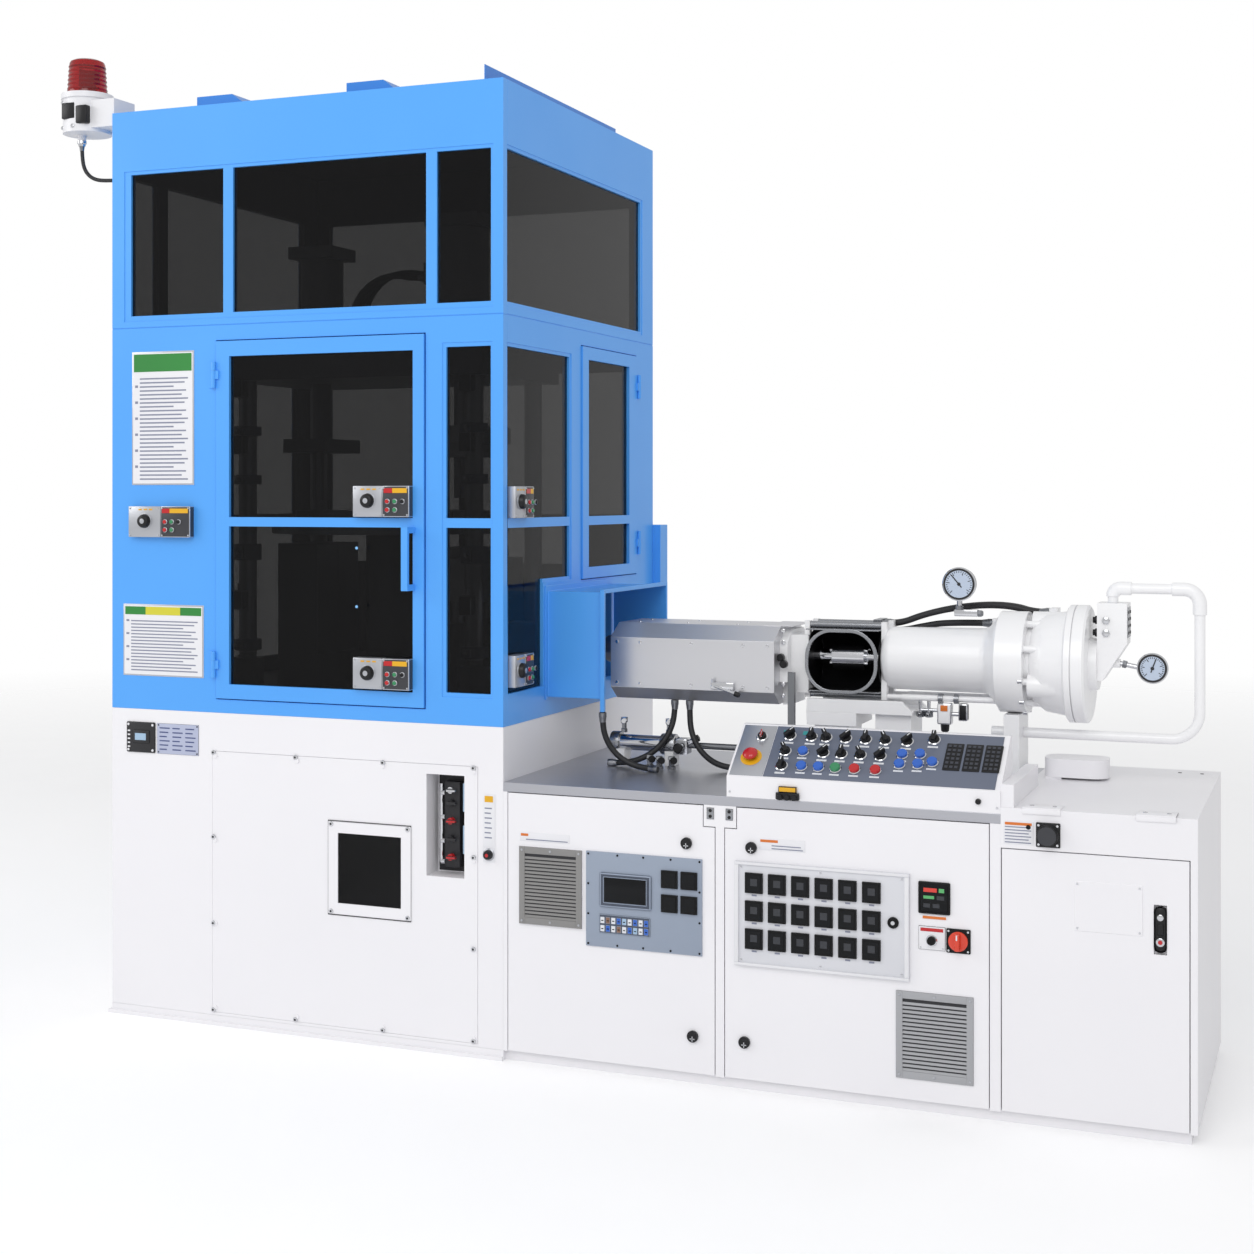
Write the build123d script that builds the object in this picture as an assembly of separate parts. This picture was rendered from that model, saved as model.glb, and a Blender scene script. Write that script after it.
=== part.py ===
from build123d import *
import math
import os

# An injection stretch blow moulding machine: a guarded tower with the moulding stations on
# a white base, and a horizontal injection unit on electrical cabinets beside it.
# Millimetres. X runs along the machine, Y away from the operator, Z up. The origin is on the
# floor under the barrel's centreline, where the tower meets the injection side.

# Tower
tower_length = 1540
tower_depth = 1370
tower_height = 3200
base_height = 1084
band_height = 770
barrel_setback = 650
wall = 30
frame_height = 33
sight_step = 3
pane = 5
pane_setback = 12
crossbar_height = 648
crossbar = 32
roof_sheet = 30

# Upper window band, front
band_margin_left = 79
band_left_pane = 385
band_right_pane = 198
band_margin_right = 46
mullion = 40
band_sill = 44
band_glass_height = 501

# Doors of the guard
door_left_offset = 440
door_right_offset = 288
door_sill = 51
door_head = 56
door_thickness = 30
door_proud = 6
door_gap = 4
door_lip = 10
door_stile = 54
side_door_width = 537
side_door_sill = 456
hinge_radius = 8
hinge_pin = 4
hinge_length = 90
running = 0.05
clear = 0.3

# Moulding stations
table_thickness = 46
column_radius = 32
column_pitch_x = 932
column_pitch_y = 500
platen_height = 90
station_opening = 560
turntable_radius = 440
turntable_rise = 570
turntable_thickness = 56

# Electrical cabinets under the injection unit
cabinet_depth = 962
cabinet_height = 876
cabinet_1_width = 744
cabinet_2_width = 866
cabinet_3_width = 554
cabinet_3_height = 925
cabinet_sheet = 18
cabinet_door = 22
cabinet_post = 34
worktop = 30
door_seam = 3

# Operator console on the worktop
console_offset = 21
console_front = 64
console_rise = 142
console_run = 175
console_plate = 2

# Injection unit, on the barrel's centreline
barrel_rise = 211
barrel_radius = 48
nozzle_tip = -118
cover_start = 190
cover_sheet = 3
plate_start = 778
plate_thickness = 27
neck_length = 60
window_length = 246
flange_setback = 110
flare_length = 57
housing_radius = 104
flange_radius = 165
flange_thickness = 89
bell_radius = 170
end_flange_radius = 190
pipe_diameter = 33
gauge_radius = 56

front_face = -barrel_setback
rear_face = front_face + tower_depth
left_face = -tower_length
split = tower_height - band_height
inside_front = front_face + wall
inside_rear = rear_face - wall
worktop_top = cabinet_height + worktop
cabinet_rear = front_face + cabinet_depth
cabinet_2_left = cabinet_1_width
cabinet_3_left = cabinet_1_width + cabinet_2_width
machine_end = cabinet_3_left + cabinet_3_width
door_left = left_face + door_left_offset
door_right = -door_right_offset
door_bottom = base_height + door_sill
door_top = split - door_head
crossbar_low = base_height + crossbar_height
crossbar_top = crossbar_low + crossbar
table_top = base_height + table_thickness
turntable_height = table_top + turntable_rise
platen_underside = turntable_height + station_opening
barrel_axis = base_height + barrel_rise
console_left = cabinet_2_left + console_offset
console_right = cabinet_3_left

parts = {}


def slab(x0, x1, y0, y1, z0, z1):
    """A box between two corners."""
    middle = Pos((x0 + x1) / 2, (y0 + y1) / 2, (z0 + z1) / 2)
    return middle * Box(x1 - x0, y1 - y0, z1 - z0)


def round_x(x0, x1, y, z, radius):
    """A round bar along X."""
    return Pos((x0 + x1) / 2, y, z) * Rot(0, 90, 0) * Cylinder(radius, x1 - x0)


def round_y(y0, y1, x, z, radius):
    """A round bar along Y."""
    return Pos(x, (y0 + y1) / 2, z) * Rot(90, 0, 0) * Cylinder(radius, y1 - y0)


def round_z(z0, z1, x, y, radius):
    """A round bar along Z."""
    return Pos(x, y, (z0 + z1) / 2) * Cylinder(radius, z1 - z0)


def turned_x(points, y, z):
    """A turned part on an axis along X, from a half section of (x, radius) points."""
    outline = Polyline(*[(x, 0, r) for x, r in points], close=True)
    return Pos(0, y, z) * revolve(make_face(outline), Axis.X)


def prism_y(points, y0, y1):
    """A prism along Y from an outline of (x, z) points."""
    outline = Polyline(*[(x, y0, z) for x, z in points], close=True)
    return extrude(make_face(outline), amount=y1 - y0, dir=(0, 1, 0))


def prism_x(points, x0, x1):
    """A prism along X from an outline of (y, z) points."""
    outline = Polyline(*[(x0, y, z) for y, z in points], close=True)
    return extrude(make_face(outline), amount=x1 - x0, dir=(1, 0, 0))


def bend_radii(points):
    """The arc at each corner of a hose: as large as its two runs allow."""
    corners = [Vector(*p) for p in points]
    radii = []
    for before, here, after in zip(corners, corners[1:], corners[2:]):
        turn = math.radians((here - before).get_angle(after - here))
        shorter = min((here - before).length, (after - here).length)
        radii.append(0.45 * shorter / math.tan(turn / 2))
    return radii


def hose(points, diameter, name):
    """A round hose along straight runs joined by tangent arcs."""
    radii = bend_radii(points)
    path = FilletPolyline(*points, radius=radii)
    print(name, "smallest bend", round(min(radii) / diameter, 1), "diameters, length", round(path.length))
    return sweep(Plane(path @ 0, z_dir=path % 0) * Circle(diameter / 2), path=path)


def droop(x, y, z, way, run, headings, drift):
    """Points of a hose in equal runs. Headings are degrees below level, way is -1 towards -X."""
    points = [(x, y, z)]
    for n, heading in enumerate(headings):
        x += way * run * math.cos(math.radians(heading))
        z -= run * math.sin(math.radians(heading))
        points.append((x, y + drift * min(1, n / 4), z))
    return points


def keep(name, *shapes):
    """Names a piece and keeps its solids for export."""
    parts[name] = [s for shape in shapes for s in shape.solids()]


# Openings in the guard walls. Each is a window set in a shallow stepped surround.
def front_window(x0, x1, z0, z1, face, inward):
    """The hole for a window in a wall that faces along Y."""
    return slab(x0, x1, min(face, face + inward * wall), max(face, face + inward * wall), z0, z1)


def front_step(x0, x1, z0, z1, face, inward):
    """The shallow step round the windows of a wall that faces along Y."""
    return slab(x0, x1, min(face, face + inward * sight_step), max(face, face + inward * sight_step), z0, z1)


def front_pane(x0, x1, z0, z1, face, inward):
    """A pane that fills a window of a wall that faces along Y."""
    near = face + inward * pane_setback
    far = near + inward * pane
    return slab(x0, x1, min(near, far), max(near, far), z0, z1)


def side_window(y0, y1, z0, z1, face, inward):
    """The hole for a window in a wall that faces along X."""
    return slab(min(face, face + inward * wall), max(face, face + inward * wall), y0, y1, z0, z1)


def side_step(y0, y1, z0, z1, face, inward):
    """The shallow step round the windows of a wall that faces along X."""
    return slab(min(face, face + inward * sight_step), max(face, face + inward * sight_step), y0, y1, z0, z1)


def side_pane(y0, y1, z0, z1, face, inward):
    """A pane that fills a window of a wall that faces along X."""
    near = face + inward * pane_setback
    far = near + inward * pane
    return slab(min(near, far), max(near, far), y0, y1, z0, z1)


band_low = split + band_sill
band_high = band_low + band_glass_height
low_glass_bottom = base_height + 105
low_glass_top = split - 102


def band_spans():
    """Left and right edge of each pane of the front window band."""
    spans = []
    left = left_face + band_margin_left
    outer = band_margin_left + band_left_pane + band_right_pane + band_margin_right
    middle = tower_length - outer - 2 * mullion
    for width in (band_left_pane, middle, band_right_pane):
        spans.append((left, left + width))
        left += width + mullion
    return spans


def low_rows(bottom=low_glass_bottom):
    """The two glass heights of a lower window, below and above its crossbar."""
    return ((bottom, crossbar_low), (crossbar_top, low_glass_top))


# Frame on the floor: rails all round and cross members, with holes for the anchor bolts.
rail = 60
cross_member = 80
cabinet_toe = 18
skirt_proud = 10
anchor_radius = 9
anchor_x0 = left_face + 120
anchor_x1 = machine_end - 120
anchor_inset = 40


def base_frame():
    toe = front_face + cabinet_toe
    shape = slab(left_face - skirt_proud, 0, front_face - skirt_proud, front_face + rail, 0, 12)
    shape += slab(left_face, 0, front_face, front_face + rail, 0, frame_height)
    shape += slab(0, machine_end - cabinet_toe, toe, front_face + rail, 0, frame_height)
    shape += slab(0, machine_end - cabinet_toe, cabinet_rear - rail, cabinet_rear, 0, frame_height)
    shape += slab(left_face, 0, rear_face - rail, rear_face, 0, frame_height)
    shape += slab(left_face, left_face + rail, front_face, rear_face, 0, frame_height)
    shape += slab(-cross_member / 2, cross_member / 2, toe, rear_face, 0, frame_height)
    shape += slab(-tower_length / 2 - 40, -tower_length / 2 + 40, front_face, rear_face, 0, frame_height)
    for x in (cabinet_3_left, machine_end - cabinet_toe - rail):
        shape += slab(x, x + rail, toe, cabinet_rear, 0, frame_height)
    for x in (anchor_x0, anchor_x1):
        for y in (front_face + anchor_inset, cabinet_rear - anchor_inset):
            if x == anchor_x0 and y > front_face + anchor_inset:
                shape += slab(left_face + rail, anchor_x0 + rail, y - rail / 2, y + rail / 2, 0, frame_height)
            shape -= round_z(0, frame_height, x, y, anchor_radius)
    return shape


# White sheet-steel base of the tower, with the pocket behind its front service panel.
panel_left = left_face + 423
panel_right = -93
panel_bottom = 45
panel_top = base_height - 134
panel_sheet = 4
casing_sheet = 20
pocket_depth = 400
sight_left = left_face + 924
sight_width = 241
sight_bottom = 463
sight_height = 237
sight_frame = 37
slot_left = -281
slot_width = 140
slot_bottom = 581
slot_height = 337
slot_depth = 90


def base_casing():
    shape = slab(left_face, 0, front_face, rear_face, frame_height, base_height)
    shape -= slab(
        panel_left - 1, panel_right + 1, front_face, front_face + panel_sheet, panel_bottom - 1, panel_top + 1
    )
    shape -= slab(
        panel_left + casing_sheet,
        panel_right - casing_sheet,
        front_face,
        front_face + pocket_depth,
        panel_bottom + casing_sheet,
        panel_top - casing_sheet,
    )
    return shape


def service_panel():
    shape = slab(
        panel_left, panel_right, front_face, front_face + panel_sheet, panel_bottom, panel_top
    )
    sight_right = sight_left + sight_width
    sight_top = sight_bottom + sight_height
    shape += slab(
        sight_left - sight_frame,
        sight_right + sight_frame,
        front_face - 3,
        front_face,
        sight_bottom - sight_frame,
        sight_top + sight_frame,
    )
    shape -= slab(sight_left, sight_right, front_face - 3, front_face + panel_sheet, sight_bottom, sight_top)
    slot_right = slot_left + slot_width
    slot_top = slot_bottom + slot_height
    shape -= slab(slot_left, slot_right, front_face, front_face + panel_sheet, slot_bottom, slot_top)
    tray = slab(
        slot_left - 2,
        slot_right + 2,
        front_face + panel_sheet,
        front_face + slot_depth,
        slot_bottom - 2,
        slot_top + 2,
    )
    tray -= slab(slot_left, slot_right, front_face, front_face + slot_depth - 2, slot_bottom, slot_top)
    shape += tray
    top = panel_top - 16
    bottom = panel_bottom + 16
    columns = (panel_left + 12, panel_left + 340, panel_right - 352, panel_right - 14)
    for x in columns:
        for z in (bottom, top):
            shape += round_y(front_face - 4, front_face, x, z, 8)
    for x in (columns[0], columns[-1]):
        for share in (1 / 3, 2 / 3):
            shape += round_y(front_face - 4, front_face, x, bottom + (top - bottom) * share, 8)
    return shape


# Blue guard walls on the base
def guard_lower_front():
    inner = front_face + door_thickness - door_proud + 0.5
    shape = slab(left_face, 0, front_face, inside_front, base_height, split)
    shape -= slab(
        door_left - door_gap,
        door_right + door_gap,
        front_face,
        inner,
        door_bottom - door_gap,
        door_top + door_gap,
    )
    shape -= slab(
        door_left + door_lip,
        door_right - door_lip,
        front_face,
        inside_front,
        door_bottom + door_lip,
        door_top - door_lip,
    )
    x0, x1 = right_light()
    shape -= front_step(x0 - 14, x1 + 8, low_glass_bottom - 14, low_glass_top + 14, front_face, 1)
    for z0, z1 in low_rows():
        shape -= front_window(x0, x1, z0, z1, front_face, 1)
    return shape


corner_post = 47


def right_light():
    """Edges of the fixed window between the front door and the corner post."""
    return door_right + 79, -corner_post


def guard_opening():
    """The hole in the side wall that the barrel passes through."""
    return slab(-wall, 0, -guard_half + 20, guard_half - 20, guard_low + 20, guard_high - 20)


guard_half = 300
guard_low = barrel_axis - 147
guard_high = barrel_axis + 215
guard_reach = 200
guard_sheet = 4
side_left = inside_front + 6
side_split = -103
side_door_left = 0
side_door_right = side_door_left + side_door_width
side_door_bottom = base_height + side_door_sill
side_door_top = split - door_head


def side_light_spans():
    """The fixed side window: narrow beside the barrel guard, wide above it."""
    return (
        (side_left, -guard_half - 34, low_glass_bottom, crossbar_low),
        (side_left, side_split, guard_high + 44, crossbar_low),
        (side_left, side_split, crossbar_top, low_glass_top),
    )


def guard_lower_right():
    shape = slab(-wall, 0, inside_front, rear_face, base_height, split)
    shape -= side_step(side_left - 5, side_split + 12, guard_high + 32, low_glass_top + 12, 0, -1)
    for y0, y1, z0, z1 in side_light_spans():
        shape -= side_window(y0, y1, z0, z1, 0, -1)
    shape -= slab(
        -door_thickness + door_proud - 0.5,
        0,
        side_door_left - door_gap,
        side_door_right + door_gap,
        side_door_bottom - door_gap,
        side_door_top + door_gap,
    )
    shape -= slab(
        -wall,
        0,
        side_door_left + door_lip,
        side_door_right - door_lip,
        side_door_bottom + door_lip,
        side_door_top - door_lip,
    )
    return shape - guard_opening()


def guard_upper_front():
    spans = band_spans()
    shape = slab(left_face, 0, front_face, inside_front, split, tower_height)
    shape -= slab(left_face, 0, front_face, front_face + 2, split, split + 3)
    shape -= front_step(
        spans[0][0] - 27, spans[-1][1] + 10, band_low - 20, band_high + 12, front_face, 1
    )
    for x0, x1 in spans:
        shape -= front_window(x0, x1, band_low, band_high, front_face, 1)
    return shape


band_side = (inside_front + 2, 590)


def guard_upper_right():
    y0, y1 = band_side
    shape = slab(-wall, 0, inside_front, rear_face, split, tower_height)
    shape -= slab(-2, 0, inside_front, rear_face, split, split + 3)
    shape -= side_step(y0 - 2, y1 + 14, band_low - 12, band_high + 12, 0, -1)
    return shape - side_window(y0, y1, band_low, band_high, 0, -1)


left_band = ((inside_front + 2, -415), (-360, 590))
left_lights = ((-600, -110), (0, 537))


def guard_left():
    shape = slab(left_face, left_face + wall, inside_front, rear_face, base_height, tower_height)
    for y0, y1 in left_band:
        shape -= side_window(y0, y1, band_low, band_high, left_face, 1)
    for y0, y1 in left_lights:
        for z0, z1 in low_rows():
            shape -= side_window(y0, y1, z0, z1, left_face, 1)
    return shape


rear_lights = ((left_face + 90, left_face + 700), (left_face + 790, -90))
duct_left = -330
duct_right = 32
duct_depth = 80
duct_top = 1723


def guard_rear():
    """Rear wall, with the cable duct that stands on it at the injection side."""
    shape = slab(left_face + wall, -wall, inside_rear, rear_face, base_height, tower_height)
    for x0, x1 in rear_lights:
        shape -= front_window(x0, x1, band_low, band_high, rear_face, -1)
        for z0, z1 in low_rows(crossbar_top - 200):
            shape -= front_window(x0, x1, z0, z1, rear_face, -1)
    duct = slab(duct_left, duct_right, rear_face, rear_face + duct_depth, base_height + 20, duct_top)
    return Compound([shape, duct])


def fixed_panes():
    panes = []
    for x0, x1 in band_spans():
        panes.append(front_pane(x0, x1, band_low, band_high, front_face, 1))
    x0, x1 = right_light()
    for z0, z1 in low_rows():
        panes.append(front_pane(x0, x1, z0, z1, front_face, 1))
    narrow, wide, high = [side_pane(*span, 0, -1) for span in side_light_spans()]
    panes.append(narrow + wide)
    panes.append(high)
    panes.append(side_pane(*band_side, band_low, band_high, 0, -1))
    for y0, y1 in left_band:
        panes.append(side_pane(y0, y1, band_low, band_high, left_face, 1))
    for y0, y1 in left_lights:
        for z0, z1 in low_rows():
            panes.append(side_pane(y0, y1, z0, z1, left_face, 1))
    for x0, x1 in rear_lights:
        panes.append(front_pane(x0, x1, band_low, band_high, rear_face, -1))
        for z0, z1 in low_rows(crossbar_top - 200):
            panes.append(front_pane(x0, x1, z0, z1, rear_face, -1))
    panes.append(
        slab(
            sight_left,
            sight_left + sight_width,
            front_face,
            front_face + panel_sheet,
            sight_bottom,
            sight_bottom + sight_height,
        )
    )
    return Compound(panes)


# Roof sheet, two slanted hoods near the front edge and the upstand along the right side
hood_depth = 200
hood_height = 45
upstand_x = -85
upstand_height = 57


def roof():
    sheet = slab(
        left_face + wall, -wall, inside_front, inside_rear, tower_height - roof_sheet, tower_height
    )
    pieces = [sheet]
    for left, flat, slant in ((left_face + 316, 145, 64), (left_face + 920, 142, 60)):
        outline = (
            (left, tower_height),
            (left, tower_height + hood_height),
            (left + flat, tower_height + hood_height),
            (left + flat + slant, tower_height),
        )
        pieces.append(prism_y(outline, inside_front + 30, inside_front + 30 + hood_depth))
    pieces.append(
        slab(upstand_x, upstand_x + 4, inside_front + 2, inside_rear - 160, tower_height, tower_height + upstand_height)
    )
    return Compound(pieces)


# Doors of the guard. The hinge pins stand on the walls and the doors turn on them.
pin_out = 12
front_pin_x = door_left - 6
front_pin_y = front_face - pin_out
side_pin_x = pin_out
side_pin_y = side_door_right + 6
hinge_inset = 72


def knuckles(z0, z1, x, y, share):
    """One half of the hinge knuckles, with the bore for the pin."""
    low = z0 + (z1 - z0) * share[0]
    high = z0 + (z1 - z0) * share[1]
    return round_z(low, high, x, y, hinge_radius)


def hinge_heights(bottom, top):
    return (bottom + hinge_inset, top - hinge_inset - hinge_length)


def front_door():
    y0 = front_face - door_proud
    y1 = y0 + door_thickness
    shape = slab(door_left, door_right, y0, y1, door_bottom, door_top)
    for z0, z1 in door_rows():
        shape -= slab(door_left + door_stile, door_right - door_stile + 13, y0, y1, z0, z1)
    for z in hinge_heights(door_bottom, door_top):
        leaf = slab(front_pin_x, door_left + 14, front_pin_y - 1.5, y0, z + 30.3, z + 60.0 - 0.3)
        half = knuckles(z, z + hinge_length, front_pin_x, front_pin_y, (0.337, 0.663)) + leaf
        shape += half - round_z(z, z + hinge_length, front_pin_x, front_pin_y, hinge_pin + running)
    grip_x = door_right - 44
    low = door_bottom + 389
    for z in (low, low + 190):
        shape += slab(grip_x - 12, grip_x + 12, y0 - 42, y0, z, z + 20)
    shape += slab(grip_x - 12, grip_x + 12, y0 - 54, y0 - 42, low, low + 210)
    return shape


def door_rows():
    return ((door_bottom + 50, crossbar_low), (crossbar_top, door_top - 53))


def front_door_panes():
    y0 = front_face - door_proud + pane_setback
    panes = [
        slab(door_left + door_stile, door_right - door_stile + 13, y0, y0 + pane, z0, z1)
        for z0, z1 in door_rows()
    ]
    return Compound(panes)


def side_door_rows():
    return ((side_door_bottom + 40, crossbar_low), (crossbar_top, side_door_top - 45))


def side_door():
    x1 = door_proud
    x0 = x1 - door_thickness
    shape = slab(x0, x1, side_door_left, side_door_right, side_door_bottom, side_door_top)
    for z0, z1 in side_door_rows():
        shape -= slab(x0, x1, side_door_left + door_stile, side_door_right - 84, z0, z1)
    for z in hinge_heights(side_door_bottom, side_door_top):
        leaf = slab(x1, side_pin_x + 1.5, side_door_right - 14, side_pin_y, z + 30.3, z + 59.7)
        half = knuckles(z, z + hinge_length, side_pin_x, side_pin_y, (0.337, 0.663)) + leaf
        shape += half - round_z(z, z + hinge_length, side_pin_x, side_pin_y, hinge_pin + running)
    return shape


def side_door_panes():
    x1 = door_proud - pane_setback
    panes = [
        slab(x1 - pane, x1, side_door_left + door_stile, side_door_right - 84, z0, z1)
        for z0, z1 in side_door_rows()
    ]
    return Compound(panes)


def hinge_leaves():
    """The fixed halves of the guard hinges, each with its pin."""
    pieces = []
    for z in hinge_heights(door_bottom, door_top):
        shape = slab(front_pin_x - 26, front_pin_x, front_face - 3, front_face, z, z + hinge_length)
        for low in (z, z + 60):
            shape += slab(front_pin_x - 8, front_pin_x, front_pin_y - 1.5, front_face, low, low + 30)
            shape += round_z(low, low + 30, front_pin_x, front_pin_y, hinge_radius)
        shape += round_z(z, z + hinge_length, front_pin_x, front_pin_y, hinge_pin)
        pieces.append(shape)
    for z in hinge_heights(side_door_bottom, side_door_top):
        shape = slab(0, 3, side_pin_y, side_pin_y + 26, z, z + hinge_length)
        for low in (z, z + 60):
            shape += slab(0, side_pin_x + 1.5, side_pin_y, side_pin_y + 8, low, low + 30)
            shape += round_z(low, low + 30, side_pin_x, side_pin_y, hinge_radius)
        shape += round_z(z, z + hinge_length, side_pin_x, side_pin_y, hinge_pin)
        pieces.append(shape)
    return Compound(pieces)


# Blue sheet guard round the nozzle end of the barrel, open towards the heater cover
rim_thickness = 15
rim_drop = 43


def barrel_guard():
    shape = slab(0, guard_sheet, -guard_half - 19, guard_half - 63, guard_low - 9, guard_high + 20)
    shape += slab(guard_sheet, guard_reach, -guard_half, guard_half, guard_low, guard_high)
    shape += slab(
        guard_reach, guard_reach + rim_thickness, -guard_half - 12, guard_half + 8, guard_low - rim_drop, guard_high + 10
    )
    inner = guard_half - guard_sheet
    return shape - slab(
        0, guard_reach + rim_thickness, -inner, inner, guard_low - rim_drop, guard_high - guard_sheet
    )


# Small electrical devices on the tower: guard switches, timer, key switch, flow unit
def tower_devices():
    pieces = []

    def box_with_knob(x0, x1, z0, z1):
        body = slab(x0, x1, front_face - 26, front_face, z0, z1)
        body += round_y(front_face - 46, front_face - 26, x0 + 70, (z0 + z1) / 2, 26)
        return body

    pieces.append(box_with_knob(left_face + 89, left_face + 347, base_height + 608, base_height + 717))
    timer = slab(left_face + 66, left_face + 186, front_face - 6, front_face, base_height - 153, base_height - 46)
    pieces.append(timer)
    key_z = panel_top - 283
    pieces.append(
        slab(-73, -29, front_face - 2, front_face, key_z - 24, key_z + 197)
        + round_y(front_face - 22, front_face, -51, key_z, 17)
    )
    back = front_face + slot_depth - 2
    flow = slab(slot_left + 40, slot_left + slot_width - 20, back - 40, back, slot_bottom + 20, slot_bottom + 310)
    for z in (slot_bottom + 90, slot_bottom + 270):
        flow += round_y(back - 62, back - 40, slot_left + 70, z, 9)
    pieces.append(flow)
    for z in (base_height + 125, base_height + 680):
        body = slab(-pane_setback, 26, side_left + 2, side_left + 150, z, z + 105)
        body += round_x(26, 46, side_left + 45, z + 52, 26)
        pieces.append(body)
    return Compound(pieces)


def door_switches():
    """Guard interlock stations on the front door's glass, knob to the left."""
    pieces = []
    right = door_right - 41
    y1 = front_face - door_proud + pane_setback
    for z0 in (base_height + 109, base_height + 683):
        body = slab(right - 213, right, y1 - 38, y1, z0, z0 + 104)
        body += round_y(y1 - 58, y1 - 38, right - 160, z0 + 52, 26)
        pieces.append(body)
    return Compound(pieces)


# Rotating beacon on the left wall
beacon_x = left_face - 162
beacon_y = front_face + 70
beacon_bottom = tower_height - 53
beacon_body = 123
beacon_ring = 20
dome_radius = 72
dome_height = 126
beacon_radius = 86


def beacon_base():
    shape = round_z(beacon_bottom, beacon_bottom + beacon_body, beacon_x, beacon_y, beacon_radius)
    shape += slab(
        beacon_x, left_face, beacon_y - 60, beacon_y + 60, beacon_bottom + 12, beacon_bottom + beacon_body - 12
    )
    shape += round_z(
        beacon_bottom + beacon_body,
        beacon_bottom + beacon_body + beacon_ring,
        beacon_x,
        beacon_y,
        beacon_radius + 6,
    )
    shape += round_z(beacon_bottom - 22, beacon_bottom, beacon_x - 24, beacon_y, 15)
    grommet = round_x(left_face - 8, left_face, beacon_y, tower_height - 225, 16)
    return Compound([shape, grommet])


def beacon_dome():
    low = beacon_bottom + beacon_body + beacon_ring
    shape = round_z(low, low + dome_height, beacon_x, beacon_y, dome_radius)
    top = shape.faces().sort_by(Axis.Z)[-1]
    shape = fillet(top.edges(), 18)
    hollow = round_z(low, low + dome_height - 5, beacon_x, beacon_y, dome_radius - 4)
    top = hollow.faces().sort_by(Axis.Z)[-1]
    return shape - fillet(top.edges(), 14)


def beacon_rotor():
    low = beacon_bottom + beacon_body + beacon_ring + clear
    shape = round_z(low, low + 30, beacon_x, beacon_y, 20)
    shape += slab(beacon_x - 4, beacon_x + 4, beacon_y - 34, beacon_y + 34, low + 30, low + 92)
    return shape


def beacon_cable():
    x = beacon_x - 24
    z = beacon_bottom - 22
    points = (
        (x, beacon_y, z),
        (x, beacon_y, z - 56),
        (x + 12, beacon_y, z - 108),
        (x + 52, beacon_y, z - 142),
        (x + 117, beacon_y, z - 150),
        (left_face - 8, beacon_y, z - 150),
    )
    return hose(points, 14, "beacon_cable")


# Clamp frame: bolster on the base, four columns, top platen and its hydraulic cylinders
def column_places():
    for side in (-1, 1):
        for depth in (-1, 1):
            yield side * column_pitch_x / 2 - tower_length / 2, depth * column_pitch_y / 2


station_radius = 300
station_x = -tower_length / 2 + station_radius
blow_x = -tower_length / 2 - station_radius


def clamp_frame():
    table = slab(
        left_face + wall + 5, -wall - 5, inside_front + 5, inside_rear - 5, base_height, table_top
    )
    platen = slab(
        -tower_length / 2 - column_pitch_x / 2 - 70,
        -tower_length / 2 + column_pitch_x / 2 + 70,
        -column_pitch_y / 2 - 80,
        column_pitch_y / 2 + 80,
        platen_underside,
        platen_underside + platen_height,
    )
    pieces = [table]
    for x, y in column_places():
        bar = round_z(table_top, platen_underside, x, y, column_radius)
        collar = round_z(table_top, table_top + 110, x, y, column_radius + 26)
        pieces += [bar, collar - bar]
        pieces.append(round_z(platen_underside + platen_height, platen_underside + platen_height + 55, x, y, 55))
    for x in (station_x, blow_x):
        platen -= round_z(platen_underside, platen_underside + platen_height, x, 0, 36 + running)
    pieces.append(platen)
    for x, radius, height in ((station_x, 95, 470), (blow_x, 80, 380)):
        low = platen_underside + platen_height
        tube = round_z(low + 50, low + height, x, 0, radius)
        foot = slab(x - radius - 20, x + radius + 20, -radius - 20, radius + 20, low, low + 50)
        cap = slab(x - radius - 12, x + radius + 12, -radius - 12, radius + 12, low + height, low + height + 45)
        if x == station_x:
            port = slab(x - port_reach, x - 60, -80, 80, low + port_height - 28, low + port_height + 52)
            pieces.append(port - tube)
        rod_hole = round_z(low, low + 240, x, 0, 36 + running)
        pieces += [tube - rod_hole, foot - rod_hole, cap]
    return Compound(pieces)


port_reach = 125
port_height = 290
cavity_reach = 160
runner_gap = 16.7


def hot_runner():
    """The manifold block that the nozzle feeds, on the table beside the cavity platen."""
    x1 = nozzle_tip - clear
    shape = slab(station_x + cavity_reach + runner_gap, x1, -70, 70, table_top, barrel_axis + 85)
    return shape - round_x(x1 - 20, x1, 0, barrel_axis, 6)


# Moving parts of the moulding stations
def turntable():
    """The turntable that carries the neck moulds from station to station."""
    x = -tower_length / 2
    low = turntable_height
    shape = round_z(low, low + turntable_thickness, x, 0, turntable_radius)
    neck_moulds = []
    for n in range(4):
        turn = math.radians(90 * n)
        x_here = x + station_radius * math.cos(turn)
        place = Pos(x_here, station_radius * math.sin(turn), low) * Rot(0, 0, 90 * n)
        shape -= place * Pos(0, 0, turntable_thickness / 2) * Box(120, 170, turntable_thickness)
        for side in (-1, 1):
            half = Pos(side * 31, 0, turntable_thickness + 14) * Box(58, 190, 28)
            for y in neck_places:
                half -= Pos(0, y, turntable_thickness + 14) * Cylinder(neck_radius, 60)
            neck_moulds.append(place * half)
    return Compound([shape] + neck_moulds)


neck_places = (-55, 0, 55)
neck_radius = 16
core_radius = 11


def turntable_post():
    """The bearing column under the turntable."""
    x = -tower_length / 2
    shape = round_z(table_top + 120, turntable_height - clear, x, 0, 95)
    return Compound([shape, round_z(table_top, table_top + 120, x, 0, 150)])


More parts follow.
